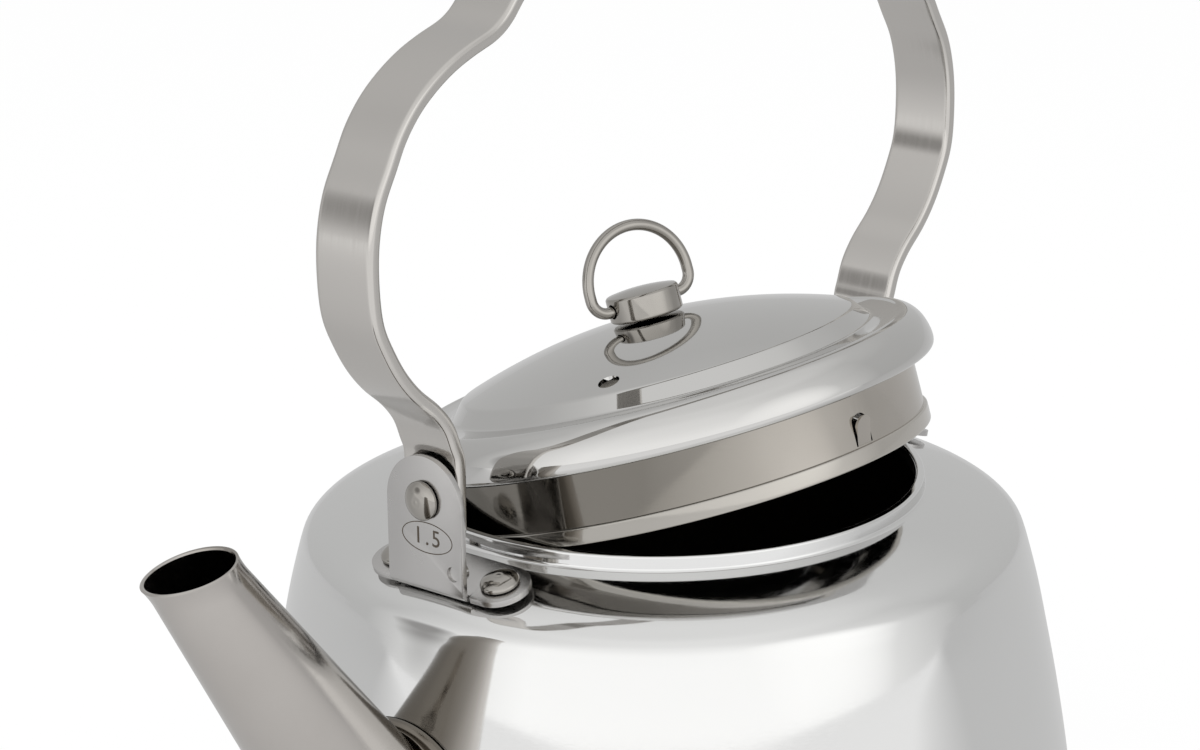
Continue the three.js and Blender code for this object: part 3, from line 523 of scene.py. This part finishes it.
# Spout: rows run out along the skin, over the root and the bead, and back inside.
def buildSpout():
    size = spoutSizes
    angle = wholeTurn(size["sides"])
    radiusAt = lambda depth: size["mouthRadius"] + size["taper"] * depth
    skinAt = lambda depth, outwards=0: spoutPoint(angle, depth, radiusAt(depth) + outwards)
    rim = size["mouthRadius"] * (size["skewUpper"] * np.cos(angle) + size["skewSide"] * np.sin(angle))
    root = meetingDepth(angle, 0, size["gap"])
    start = root - size["rootFillet"]
    lipEnd = rim + size["lipLength"]
    lipRow = lambda share, inset: skinAt(rim + size["lipLength"] * share,
                                         size["lipFlare"] * (1 - share) ** 2 - inset)
    tubeRow = lambda share, end, inset: skinAt(lipEnd + (end - lipEnd) * share, -inset)
    rows = [lipRow(share, 0) for share in np.linspace(0, 1, 12)]
    rows += [tubeRow(share, start, 0) for share in np.linspace(0, 1, 24)[1:-1]]
    skin = size["gap"] + size["sheet"]
    corner = onWall(skinAt(root), skin)
    outward = skinAt(root, size["flange"])
    first, last = skinAt(start), onWall(outward, skin)
    for t in np.linspace(0, 1, 18):
        rows.append((1 - t) ** 2 * first + 2 * t * (1 - t) * corner + t ** 2 * last)
    for t in np.linspace(0, 1, 14)[1:]:
        place = skinAt(root, size["flange"] + size["beadWidth"] * t)
        swell = size["beadHeight"] * np.sin(np.pi * t) ** size["beadFullness"] if t < 1 else 0
        rows.append(onWall(place, skin + swell))
    rows.append(onWall(place, size["gap"]))
    rows.append(onWall(outward, size["gap"]))
    inner = meetingDepth(angle, size["sheet"], size["gap"])
    rows.append(skinAt(inner, -size["sheet"]))
    rows += [tubeRow(share, inner, size["sheet"]) for share in np.linspace(1, 0, 16)]
    rows += [lipRow(share, size["sheet"]) for share in np.linspace(1, 0, 8)[1:-1]]
    lip = radiusAt(rim) + size["lipFlare"]
    lipInner = spoutPoint(angle, rim + size["lipRound"], lip - size["sheet"])
    lipOuter = spoutPoint(angle, rim - size["lipDrop"], lip - size["lipThin"])
    rows += [lipInner, (lipInner + lipOuter) / 2 + spoutAxis * size["lipRound"], lipOuter]
    spout = meshObject("spout_tube", np.stack(rows), gridFaces(len(rows), size["sides"], True, True))
    finishPiece(spout, "kettle", "spout", spoutSteel)


buildSpout()
print("spout made")


# Ears, rivets and the mark

markSizes = {"centre": [-0.6, 104.0], "halfWidth": 5.9, "halfHeight": 2.8, "line": 0.17, "proud": 0.03,
             "sunk": 0.05, "sides": 96, "text": "1.5", "textHeight": 4.3, "textGap": 1.25}


# A flat outline given a depth: its points lie on two planes that the function place puts in space.
def prism(name, outline, place, low, high):
    outline = np.asarray(outline)
    count = len(outline)
    points = np.vstack([place(outline, low), place(outline, high)])
    ring = np.arange(count)
    sides = np.column_stack([ring, (ring + 1) % count, (ring + 1) % count + count, ring + count]).tolist()
    return meshObject(name, points, [ring[::-1].tolist(), (ring + count).tolist()] + sides, 30)


def acrossY(outline, y):
    return np.column_stack([outline[:, 0], np.full(len(outline), y), outline[:, 1]])


def alongX(outline, x):
    return np.column_stack([np.full(len(outline), x), outline[:, 0], outline[:, 1]])


def onFoot(outline, height):
    return footOrigin + outline[:, :1] * footAlong + outline[:, 1:] * [[0, 1, 0]] + height * footNormal


# The ear is a bent strip, cut to a round top, with a plate of two lobes on its foot.
def earPieces():
    size = earSizes
    half, thick, radius, lobe = size["width"] / 2, size["sheet"], size["bend"], size["lobeRadius"]
    face, top, apart = -size["reach"], size["top"], size["lobeSpread"]
    slope = np.degrees(footSlope)
    inward = footOrigin[[0, 2]] + footAlong[[0, 2]] * lobe
    lift = footNormal[[0, 2]] * thick
    strip = np.vstack([[[face, top + 1]], arcLine(bendX, bendZ, radius, 180, 270 + slope, 14), [inward],
                       [inward + lift], arcLine(bendX, bendZ, radius - thick, 270 + slope, 180, 14),
                       [[face + thick, top + 1]]])
    ear = prism("earStrip", strip, acrossY, -half, half)
    low, springs = bendZ - size["blankDrop"], top - half - 3
    crown = np.vstack([[[-half - 1, low], [half + 1, low], [half + 1, springs], [half, springs]],
                       arcLine(0, top - half, half, 0, 180, 56), [[-half, springs], [-half - 1, springs]]])
    blank = prism("earBlank", crown, alongX, face - 3, -size["rivetReach"] + lobe + 3)
    notch, side = -lobe + 1.2, half + size["lobeOverlap"]
    lobes = np.vstack([arcLine(0, -apart, lobe, 180, 360, 40), arcLine(0, apart, lobe, 0, 180, 40),
                       [[-lobe, side], [notch, half], [notch, -half], [-lobe, -side]]])
    return ear, blank, prism("earLobes", lobes, onFoot, 0, thick)


# Rivet: a shallow dome with a small dimple, a shank and a peened tail, standing on the plane z = 0.
def rivetProfile(grip):
    size = earSizes
    radius = size["headRadius"] * np.sin(np.linspace(0, 1, 22) * np.pi / 2)
    bulge = np.sqrt(np.clip(1 - (radius / size["headRadius"]) ** 2 * 0.985, 0, 1))
    ringRadius, ringWidth, depth = size["dimple"]
    dome = size["headHeight"] * (size["headRim"] + (1 - size["headRim"]) * bulge)
    dome = dome - depth * np.exp(-((radius - ringRadius) / ringWidth) ** 2)
    tail = arcLine(0, 0, 1, -90, 0, 10) * [size["tailRadius"], size["tailHeight"]] + [0, -grip]
    return np.vstack([tail, [[size["shankRadius"], -grip], [size["shankRadius"], 0],
                             [size["headRadius"] - 0.15, 0], [size["headRadius"], 0.12]],
                      np.column_stack([radius, dome])[::-1]])


# The ear's pieces are joined, the nib is dented in front and raised behind, and the edges are bevelled.
def buildEar(side, degrees):
    size = earSizes
    turn = Matrix.Rotation(np.radians(degrees), 4, "Z")
    ear, blank, lobes = earPieces()
    ear.name = f"ear_{side}"
    combine(ear, [blank], "INTERSECT")
    combine(ear, [lobes], "UNION")
    y, z, face = size["nib"][0], bendZ + size["nib"][1], -size["reach"]
    dent = [[face - 1, y, z], [face + size["nibDent"], y, z]]
    combine(ear, [rod("nibRecess", *dent, size["nibRadius"] - 0.25)])
    stub = [[face + size["nibDent"] + 0.1, y, z], [face + size["sheet"] + size["nibRise"], y, z]]
    combine(ear, [rod("nibStub", *stub, size["nibRadius"])], "UNION")
    setAll(ear.modifiers.new("edges", "BEVEL"), width=size["edge"] * mm, segments=3,
           limit_method="ANGLE", angle_limit=np.radians(50))
    bakeModifiers(ear)
    ear.data.transform(turn)
    name = side.capitalize()
    finishPiece(ear, "kettle", f"ear{name}", earSteel)
    tilt = np.column_stack([footAlong, [0, 1, 0], footNormal])
    for index, sign in enumerate([-1, 1]):
        apart = [0, sign * size["lobeSpread"], 0]
        foot = footOrigin + apart + footNormal * (size["sheet"] + size["footPlay"])
        rivet = turned(f"foot_rivet_{side}_{index + 1}", rivetProfile(size["footGrip"]), 64, (tilt, foot))
        rivet.data.transform(turn)
        finishPiece(rivet, "kettle", f"footRivet{name}{index + 1}", wireSteel)
    lie = np.array([[0, 0, -1], [0, 1, 0], [1, 0, 0]]).astype(float)
    pinPlace = np.array([face - size["pivotPlay"], 0, size["pivotHeight"]])
    pin = turned(f"pivot_rivet_{side}", rivetProfile(size["pivotGrip"]), 64, (lie, pinPlace))
    pin.data.transform(turn)
    finishPiece(pin, "kettle", f"pivotRivet{name}", wireSteel)


# The mark is a thin oval line and plain figures, set flush in the front ear's face.
def buildMark():
    size = markSizes
    angle = wholeTurn(size["sides"])
    face = -earSizes["reach"]
    section = np.array([[0, size["sunk"]], [0, -size["proud"]], [-size["line"], -size["proud"]],
                        [-size["line"], size["sunk"]]])
    grid = np.stack([np.stack([np.full_like(angle, face + depth),
                               size["centre"][0] + (size["halfWidth"] + inset) * np.cos(angle),
                               size["centre"][1] + (size["halfHeight"] + inset) * np.sin(angle)], axis=-1)
                     for inset, depth in section])
    oval = meshObject("mark_oval", grid, gridFaces(4, size["sides"], True, True))
    finishPiece(oval, "kettle", None, markSteel)
    curve = bpy.data.curves.new("figures", "FONT")
    setAll(curve, body=size["text"], size=size["textHeight"] * mm, space_character=size["textGap"],
           align_x="CENTER", align_y="CENTER", extrude=(size["sunk"] + size["proud"]) / 2 * mm)
    text = newObject("figures", curve)
    mesh = bpy.data.meshes.new_from_object(text.evaluated_get(bpy.context.evaluated_depsgraph_get()))
    bpy.data.objects.remove(text)
    place = Matrix(((0, 0, -1, (face + (size["sunk"] - size["proud"]) / 2) * mm),
                    (-1, 0, 0, size["centre"][0] * mm), (0, 1, 0, size["centre"][1] * mm), (0, 0, 0, 1)))
    mesh.transform(place)
    finishPiece(newObject("mark_figures", mesh), "kettle", None, markSteel)


buildEar("front", 0)
buildEar("back", 180)
buildMark()
print("ears, rivets and mark made")


# Handle

handleSizes = {
    "width": 12.9, "thickness": 2.5, "reach": 59.75, "halfSpan": 79, "tail": 6.7, "cornerRadius": 2,
    "edgeRound": 0.75, "faceInset": 0.4, "rise": 89.5, "rows": 560, "smoothings": 6, "sharpAngle": 40,
    "hipShares": [[0, 0], [0.041, 0.023], [0.124, 0.067], [0.278, 0.108], [0.51, 0.151], [0.691, 0.196],
                  [0.845, 0.251], [0.959, 0.307], [1, 0.385]],
    "crownShares": [[0.996, 0.464], [0.975, 0.536], [0.937, 0.598], [0.905, 0.648], [0.861, 0.693],
                    [0.81, 0.728], [0.747, 0.759], [0.684, 0.78], [0.614, 0.799], [0.575, 0.82],
                    [0.535, 0.857], [0.472, 0.912], [0.37, 0.958], [0.2, 0.99], [0, 1]],
    "sidesApart": 40,
}


# The band's middle line: up the leg, out over the hip and in to the crown, then mirrored and smoothed.
def handleLine():
    size = handleSizes
    reach, pivot, top = size["reach"], earSizes["pivotHeight"], earSizes["top"]
    hip, crown = np.array(size["hipShares"]), np.array(size["crownShares"])
    hipX = -reach - (size["halfSpan"] - reach) * hip[:, 0]
    crownX = -size["halfSpan"] * crown[:, 0]
    left = np.vstack([[[-reach, pivot - size["tail"]], [-reach, pivot]],
                      np.column_stack([hipX, top + size["rise"] * hip[:, 1]]),
                      np.column_stack([crownX, top + size["rise"] * crown[:, 1]])])
    line = smoothLine(np.vstack([left, (left * [-1, 1])[-2::-1]]), 12)
    for smoothing in range(size["smoothings"]):
        line[1:-1] = (line[:-2] + 2 * line[1:-1] + line[2:]) / 4
    return line


# A rounded rectangle carried along the handle's line; each end row narrows on a quarter circle.
def buildHandle():
    size = handleSizes
    line = handleLine()
    length = np.append(0, np.cumsum(np.linalg.norm(np.diff(line, axis=0), axis=1)))
    total = length[-1]
    corner = size["cornerRadius"]
    ends = corner * (1 - np.cos(np.linspace(0, np.pi / 2, 8)))
    middle = np.linspace(corner, total - corner, size["rows"])[1:-1]
    stations = np.concatenate([ends, middle, (total - ends)[::-1]])
    place, along = (np.column_stack([np.interp(stations, length, column) for column in curve.T])
                    for curve in (line, np.gradient(line, length, axis=0)))
    fromEnd = corner - np.minimum(np.minimum(stations, total - stations), corner)
    halfWidth = size["width"] / 2 - corner + np.sqrt(np.clip(corner ** 2 - fromEnd ** 2, 0, None))
    halfThick, edge = size["thickness"] / 2, size["edgeRound"]
    quarter = np.linspace(0, np.pi / 2, 7)
    off, shift = halfThick - edge + edge * np.cos(quarter), edge * (np.sin(quarter) - 1)
    off, shift = np.append(off[0], off), np.append(shift[0] - size["faceInset"], shift)
    sign = np.repeat([1, 1, -1, -1], len(off))
    off = np.concatenate([off, -off[::-1], -off, off[::-1]])
    shift = np.tile(np.concatenate([shift, shift[::-1]]), 2)
    y = sign[None, :] * (halfWidth[:, None] + shift[None, :])
    grid = carried(place, along, off[None, :], y)
    rows, columns = y.shape
    faces = gridFaces(rows, columns, False, True)
    mesh = bpy.data.meshes.new("handle_band")
    caps = [tuple(range(columns))[::-1], tuple(range((rows - 1) * columns, rows * columns))]
    mesh.from_pydata((grid.reshape(-1, 3) * mm).tolist(), [], faces.tolist() + caps)
    across = (y + np.sign(off)[None, :] * size["sidesApart"]) * mm
    flow = np.stack([np.broadcast_to(stations[:, None], y.shape) * mm, across], axis=-1).reshape(-1, 2)
    vertexOf = np.empty(len(mesh.loops), int)
    mesh.loops.foreach_get("vertex_index", vertexOf)
    layer = mesh.uv_layers.new(name="along")
    layer.data.foreach_set("uv", flow[vertexOf].ravel())
    cleanMesh(mesh, merge=False)
    shade(mesh, size["sharpAngle"])
    finishPiece(newObject("handle_band", mesh), "handle", "handle", handleSteel)


buildHandle()
print("handle made")


# Lid, knob and ring, in the lid's own tilted place

lidSizes = {
    "tilt": 16.1, "lean": 99.6, "place": [0, -2, 113.1], "sheet": 0.7, "crownHeight": 16,
    "crownRadius": 36.5, "crownEdge": 9.5, "bandInner": 39.1, "bandOuter": 43.7, "bandHeight": 6.55,
    "brimLine": [[44.9, 6.72], [46.4, 6.05], [47.8, 4.5], [48.7, 2.3], [49.0, 0.3], [48.8, -0.6],
                 [48.3, -1.08]],
    "foldDrop": 1.2, "foldOuter": 47.6, "foldSeam": 47.4, "foldInner": 44.8, "boreRadius": 1.9,
    "ventRadius": 1.95, "ventReach": 32.3, "ventTurn": -153.3, "sides": 192, "sharpAngle": 24,
}
skirtSizes = {
    "radius": 44.5, "sheet": 0.7, "depth": 14.1, "hemHeight": 3.1, "hemStep": 0.6, "flangeRadius": 47.3,
    "flangeGap": 0.3, "tongueWidth": 3.5, "tongueHeight": 5.2, "tongueLean": 1.5, "tongueTurn": -92.3,
    "tongueFoot": 0.25, "leanPower": 1.4, "slit": 0.35, "windowDepth": 4,
}
knobSizes = {
    "radius": 6.7, "bottom": 16.3, "height": 4.7, "crown": 0.6, "edge": 0.35, "holeRise": 2.5,
    "holeRadius": 1.35, "screwRadius": 1.6, "screwHead": 3.4, "screwDome": 1.5, "wire": 1.05,
    "halfWidth": 10.3, "leg": 3.8, "bend": 3, "endDepth": 3, "endGap": 0.3, "ringTurn": -18.8,
    "wireSides": 28,
}
lean = np.radians(lidSizes["lean"])
lidHinge = Vector((-np.sin(lean), np.cos(lean), 0))
lidTurn = np.array(Matrix.Rotation(np.radians(lidSizes["tilt"]), 3, lidHinge))
lidPlace = (lidTurn, np.array(lidSizes["place"], float))


def onLid(points):
    return points @ lidTurn.T + lidPlace[1]


# Cover: a parabolic crown, a step, a flat band, a bulging brim and the fold under it, then back beneath.
def buildCover():
    size = lidSizes
    bore, low = size["boreRadius"], -size["foldDrop"]
    radius = np.linspace(bore, size["crownRadius"], 60)
    crown = np.column_stack([radius, size["crownHeight"] - (size["crownHeight"] - size["crownEdge"])
                             * (radius / size["crownRadius"]) ** 2])
    bandStart, bandEnd = ([size[key], size["bandHeight"]] for key in ("bandInner", "bandOuter"))
    step = softCorners([crown[-2], crown[-1], bandStart, bandEnd], [0.45, 0.5], 8)
    brim = smoothLine([bandEnd, *size["brimLine"], [size["foldOuter"], low]], 8)
    top = np.vstack([crown[:-2], step, brim[1:]])
    under = offsetLine(np.vstack([crown, [bandStart], brim[:-16]]), -size["sheet"])
    under[0, 0] = bore
    foldTop = low + size["sheet"]
    fold = [[size["foldInner"], low], [size["foldInner"], foldTop], [size["foldSeam"], foldTop]]
    profile = np.vstack([top, fold, under[::-1]])
    cover = turned("lid_cover", profile, size["sides"], lidPlace, size["sharpAngle"])
    vent = heading(size["ventTurn"]) * size["ventReach"]
    ends = onLid(vent + [0, 0, 5]), onLid(vent + [0, 0, 20])
    combine(cover, [rod("ventCutter", *ends, size["ventRadius"], 64)])
    shade(cover.data, size["sharpAngle"])
    finishPiece(cover, "lid", "lidCover", lidSteel)


# A strip with a half-round top, bent out of the skirt about its foot.
def tongueGrid(halfWidth, height, thickness, bentOut, foot):
    size = skirtSizes
    v = np.concatenate([np.linspace(0, height - halfWidth, 8)[:-1],
                        height - halfWidth + halfWidth * np.sin(np.linspace(0, np.pi / 2, 14))])
    over = np.clip((v - height + halfWidth) / halfWidth, 0, 1)
    width = halfWidth * np.sqrt(1 - over ** 2)
    aside = np.linspace(-1, 1, 9)[None, :] * np.maximum(width, 0.02)[:, None]
    out = (v / height) ** size["leanPower"] * bentOut
    layers = []
    for shift in (-thickness / 2, thickness / 2):
        radius = size["radius"] - size["sheet"] / 2 + out + shift
        layers.append(np.stack([np.broadcast_to(radius[:, None], aside.shape), aside,
                                np.broadcast_to((foot + v)[:, None], aside.shape)], axis=-1))
    loop = np.concatenate([layers[0], layers[1][:, ::-1]], axis=1)
    return onLid(loop @ turnAboutZ(size["tongueTurn"]).T)


# A grid of closed rows, with the first and the last row filled by quads from side to side.
def stripMesh(name, grid):
    rows, columns = grid.shape[:2]
    faces = gridFaces(rows, columns, False, True).tolist()
    for start in (0, (rows - 1) * columns):
        faces += [[start + k, start + k + 1, start + columns - 2 - k, start + columns - 1 - k]
                  for k in range(columns // 2 - 1)]
    return meshObject(name, grid, faces)


# Skirt: a ring with a flange at the top and a hem below, a window cut in it and the tongue in the window.
def buildSkirt():
    size = skirtSizes
    radius, sheet, low = size["radius"], size["sheet"], -size["depth"]
    inner, hem, hemTop = radius - sheet, radius + size["hemStep"], low + size["hemHeight"]
    flange, reach = -lidSizes["foldDrop"] + lidSizes["sheet"] + size["flangeGap"], size["flangeRadius"]
    corners = [[inner, flange + sheet], [inner, low], [hem, low], [hem, hemTop], [radius, hemTop],
               [radius, flange], [reach, flange], [reach, flange + sheet], [inner, flange + sheet]]
    profile = softCorners(corners, [0.2, 0.45, 0.4, 0.12, 0.3, 0.05, 0.05], 6)[:-1]
    skirt = turned("lid_skirt", profile, lidSizes["sides"], lidPlace)
    foot, halfWidth, height = hemTop + size["tongueFoot"], size["tongueWidth"] / 2, size["tongueHeight"]
    opening = tongueGrid(halfWidth + size["slit"], height + size["slit"], size["windowDepth"], 0, foot)
    combine(skirt, [stripMesh("tongueWindow", opening)])
    tongue = tongueGrid(halfWidth, height, sheet * 0.8, size["tongueLean"], foot - 0.1)
    combine(skirt, [stripMesh("tongue", tongue)], "UNION")
    finishPiece(skirt, "lid", "lidSkirt", skirtSteel)


# Knob: a disc with soft edges and a slightly raised top, drilled from both sides for the ring's ends.
# Screw: a low domed head under the cover and a shank up into the knob.
def buildKnob():
    size = knobSizes
    bottom, radius, edge = size["bottom"], size["radius"], size["edge"]
    top = bottom + size["height"]
    dome = np.linspace(radius - edge, 0, 24)
    crown = np.column_stack([dome, top + size["crown"] * (1 - (dome / (radius - edge)) ** 2)])
    side = softCorners([[0, bottom], [radius - edge, bottom], [radius, bottom + edge], [radius, top - edge],
                        [radius - edge * 0.8, top], [radius - edge - 0.3, top + 0.03]],
                       [0.12, 0.12, 0.1, 0.1], 5)
    knob = turned("lid_knob", np.vstack([side[:-1], crown]), 128, lidPlace)
    across = heading(size["ringTurn"])
    centre = np.array([0, 0, bottom + size["holeRise"]])
    holeEnd = radius - size["endDepth"] - size["endGap"]
    cutters = [rod(f"knobHole{index}", onLid(centre + across * sign * holeEnd),
                   onLid(centre + across * sign * (radius + 2)), size["holeRadius"])
               for index, sign in enumerate((-1, 1))]
    combine(knob, cutters)
    finishPiece(knob, "lid", "knob", wireSteel)
    headTop, shankTop = lidSizes["crownHeight"] - lidSizes["sheet"] - 0.3, bottom - 0.35
    head = arcLine(0, 0, 1, -90, 0, 12) * [size["screwHead"], size["screwDome"]] + [0, headTop - 0.1]
    shank = size["screwRadius"]
    profile = np.vstack([head, [[size["screwHead"], headTop], [shank, headTop], [shank, shankTop],
                                [0, shankTop]]])
    screw = turned("knob_screw", profile, 64, lidPlace)
    finishPiece(screw, "lid", "knobScrew", wireSteel)


# Ring: a circle carried along a D, both ends turned in to the knob's hole.
def buildRing():
    size = knobSizes
    inX, wide, bend = size["radius"] - size["endDepth"], size["halfWidth"], size["bend"]
    line = np.vstack([[[inX, 0]], arcLine(wide - bend, bend, bend, -90, 0, 14),
                      arcLine(0, size["leg"], wide, 0, 180, 90)[1:-1],
                      arcLine(-wide + bend, bend, bend, 180, 270, 14), [[-inX, 0]]])
    angle = wholeTurn(size["wireSides"])[None, :]
    y = np.sin(angle) * size["wire"] + 0 * line[:, :1]
    grid = carried(line, np.gradient(line, axis=0), np.cos(angle) * size["wire"], y)
    ends = [np.broadcast_to(grid[row].mean(axis=0), grid[row].shape)[None] for row in (0, -1)]
    grid = np.concatenate([ends[0], grid, ends[1]])
    grid = onLid(grid @ turnAboutZ(size["ringTurn"]).T + [0, 0, size["bottom"] + size["holeRise"]])
    ring = meshObject("knob_ring", grid, gridFaces(*grid.shape[:2], False, True), 50)
    finishPiece(ring, "ring", "knobRing", wireSteel)


buildCover()
buildSkirt()
buildKnob()
buildRing()
print("lid, knob and ring made")


# Floor, studio and camera

studio = {
    "floorSize": 8, "floorColour": (0.86, 0.86, 0.865), "floorWhite": 0.88, "floorFar": 0.58,
    "floorReach": (0, 0.26), "cameraTurn": -139.5, "sideReach": (-0.2, 0.75), "warmth": 0.995,
    "farRamp": [(0, 0.6), (0.5, 0.57), (0.75, 0.6), (0.88, 0.68), (0.94, 0.82), (1, 0.88)],
    "nearRamp": [(0, 1), (0.5, 1.25), (0.62, 1.22), (0.75, 1.1), (0.88, 1.02), (0.95, 1.02), (1, 0.86)],
    "patches": [
        {"turn": 142, "height": 12, "inner": 5, "outer": 13, "colour": (0.36, 0.355, 0.35)},
        {"turn": -88, "height": 18, "inner": 6, "outer": 26, "colour": (1.3, 1.3, 1.29)},
    ],
    "lampsAimAt": [0, 0, 0.09],
    "lamps": [
        {"name": "keyLamp", "turn": -165, "height": 48, "distance": 1.5, "size": 0.8, "power": 6},
        {"name": "fillLamp", "turn": -70, "height": 60, "distance": 1.6, "size": 0.9, "power": 5},
        {"name": "backLamp", "turn": 70, "height": 60, "distance": 1.6, "size": 0.9, "power": 4},
    ],
}
backdropRays = ["Is Camera Ray", "Is Transmission Ray"]


# 1 for a ray of any of the given kinds, and else 0.
def isRay(tree, kinds):
    path = tree.nodes.new("ShaderNodeLightPath")
    total = path.outputs[kinds[0]]
    for kind in kinds[1:]:
        total = combineValues(tree, "MAXIMUM", total, path.outputs[kind])
    return total


def rampOver(tree, level, steps):
    ramp = tree.nodes.new("ShaderNodeValToRGB")
    tree.links.new(level, ramp.inputs["Fac"])
    stops = ramp.color_ramp.elements
    for index, (position, value) in enumerate(steps):
        stop = stops[index] if index < 2 else stops.new(position)
        stop.position = position
        stop.color = (value, value, value * studio["warmth"], 1)
    return ramp.outputs["Color"]


# The studio in the metal: one ramp over height behind the kettle and a brighter one on the camera's
# side, with a dark patch and a light one. The camera itself sees plain white.
def buildWorld():
    world = bpy.data.worlds.new("studioWorld")
    bpy.context.scene.world = world
    world.use_nodes = True
    tree = world.node_tree
    tree.nodes.clear()
    direction = addNode(tree, "TexCoord", "Generated", {})
    level = spread(tree, addNode(tree, "SeparateXYZ", "Z", {"Vector": direction}), 0, 1, -1, 1)
    side = shareAlong(tree, direction, heading(studio["cameraTurn"]), *studio["sideReach"])
    colour = blend(tree, side, rampOver(tree, level, studio["farRamp"]),
                   rampOver(tree, level, studio["nearRamp"]))
    for patch in studio["patches"]:
        limits = np.cos(np.radians([patch["outer"], patch["inner"]]))
        cover = shareAlong(tree, direction, heading(patch["turn"], patch["height"]), *limits)
        colour = blend(tree, cover, colour, patch["colour"])
    mirrored = addNode(tree, "Background", "Background", {"Color": colour})
    white = addNode(tree, "Background", "Background", {"Color": (1, 1, 1)})
    shown = addNode(tree, "MixShader", "Shader", {"Fac": isRay(tree, backdropRays), 1: mirrored, 2: white})
    output = tree.nodes.new("ShaderNodeOutputWorld")
    tree.links.new(shown, output.inputs["Surface"])


# The floor keeps the shadow, is nearly white to the camera and, on its far side, grey to the metal.
def buildFloor():
    half = studio["floorSize"] / 2
    mesh = bpy.data.meshes.new("floor")
    corners = [(-half, -half, 0), (half, -half, 0), (half, half, 0), (-half, half, 0)]
    mesh.from_pydata(corners, [], [(0, 1, 2, 3)])
    floor = newObject("floor", mesh)
    material = bpy.data.materials.new("paleFloor")
    material.use_nodes = True
    tree = material.node_tree
    shader = tree.nodes["Principled BSDF"]
    setInputs(tree, shader, {"Base Color": studio["floorColour"], "Roughness": 0.9})
    place = addNode(tree, "TexCoord", "Object", {})
    share = shareAlong(tree, place, heading(studio["cameraTurn"]), *studio["floorReach"])
    faded = spread(tree, share, studio["floorFar"], 1, 0, 1)
    strength = combineValues(tree, "MAXIMUM", faded, isRay(tree, backdropRays))
    white = addNode(tree, "Emission", "Emission", {"Color": (1, 1, 1), "Strength": strength})
    lit = isRay(tree, ["Is Camera Ray", "Is Glossy Ray", "Is Transmission Ray"])
    amount = combineValues(tree, "MULTIPLY", lit, studio["floorWhite"])
    shown = addNode(tree, "MixShader", "Shader", {"Fac": amount, 1: shader.outputs["BSDF"], 2: white})
    tree.links.new(shown, tree.nodes["Material Output"].inputs["Surface"])
    mesh.materials.append(material)


def buildLamps():
    for lamp in studio["lamps"]:
        light = bpy.data.lights.new(lamp["name"], "AREA")
        setAll(light, size=lamp["size"], energy=lamp["power"])
        holder = newObject(lamp["name"], light)
        holder.visible_glossy = False
        aim = heading(lamp["turn"], lamp["height"])
        holder.location = np.array(studio["lampsAimAt"]) + aim * lamp["distance"]
        holder.rotation_euler = Vector(aim).to_track_quat("Z", "Y").to_euler()


cameraSizes = {"turn": -48.622, "height": 17.197, "roll": -0.89, "place": (-0.5331, -0.4549, 0.3348),
               "focal": 4055.8, "imageWidth": 1200, "sensorWidth": 36}


def buildCamera():
    size = cameraSizes
    turn, height, roll = (np.radians(size[key]) for key in ("turn", "height", "roll"))
    right = heading(size["turn"])
    up = np.array([-np.sin(turn) * np.sin(height), np.cos(turn) * np.sin(height), np.cos(height)])
    back = np.array([np.sin(turn) * np.cos(height), -np.cos(turn) * np.cos(height), np.sin(height)])
    right, up = np.cos(roll) * right + np.sin(roll) * up, -np.sin(roll) * right + np.cos(roll) * up
    data = bpy.data.cameras.new("camera")
    setAll(data, sensor_fit="HORIZONTAL", sensor_width=size["sensorWidth"], clip_start=0.01,
           lens=size["focal"] / size["imageWidth"] * size["sensorWidth"])
    camera = newObject("camera", data)
    facing = Matrix(np.column_stack([right, up, back]).tolist()).to_4x4()
    camera.matrix_world = Matrix.Translation(size["place"]) @ facing
    bpy.context.scene.camera = camera


buildWorld()
buildFloor()
buildLamps()
buildCamera()
bpy.context.scene.view_settings.view_transform = "Standard"
print("studio made")
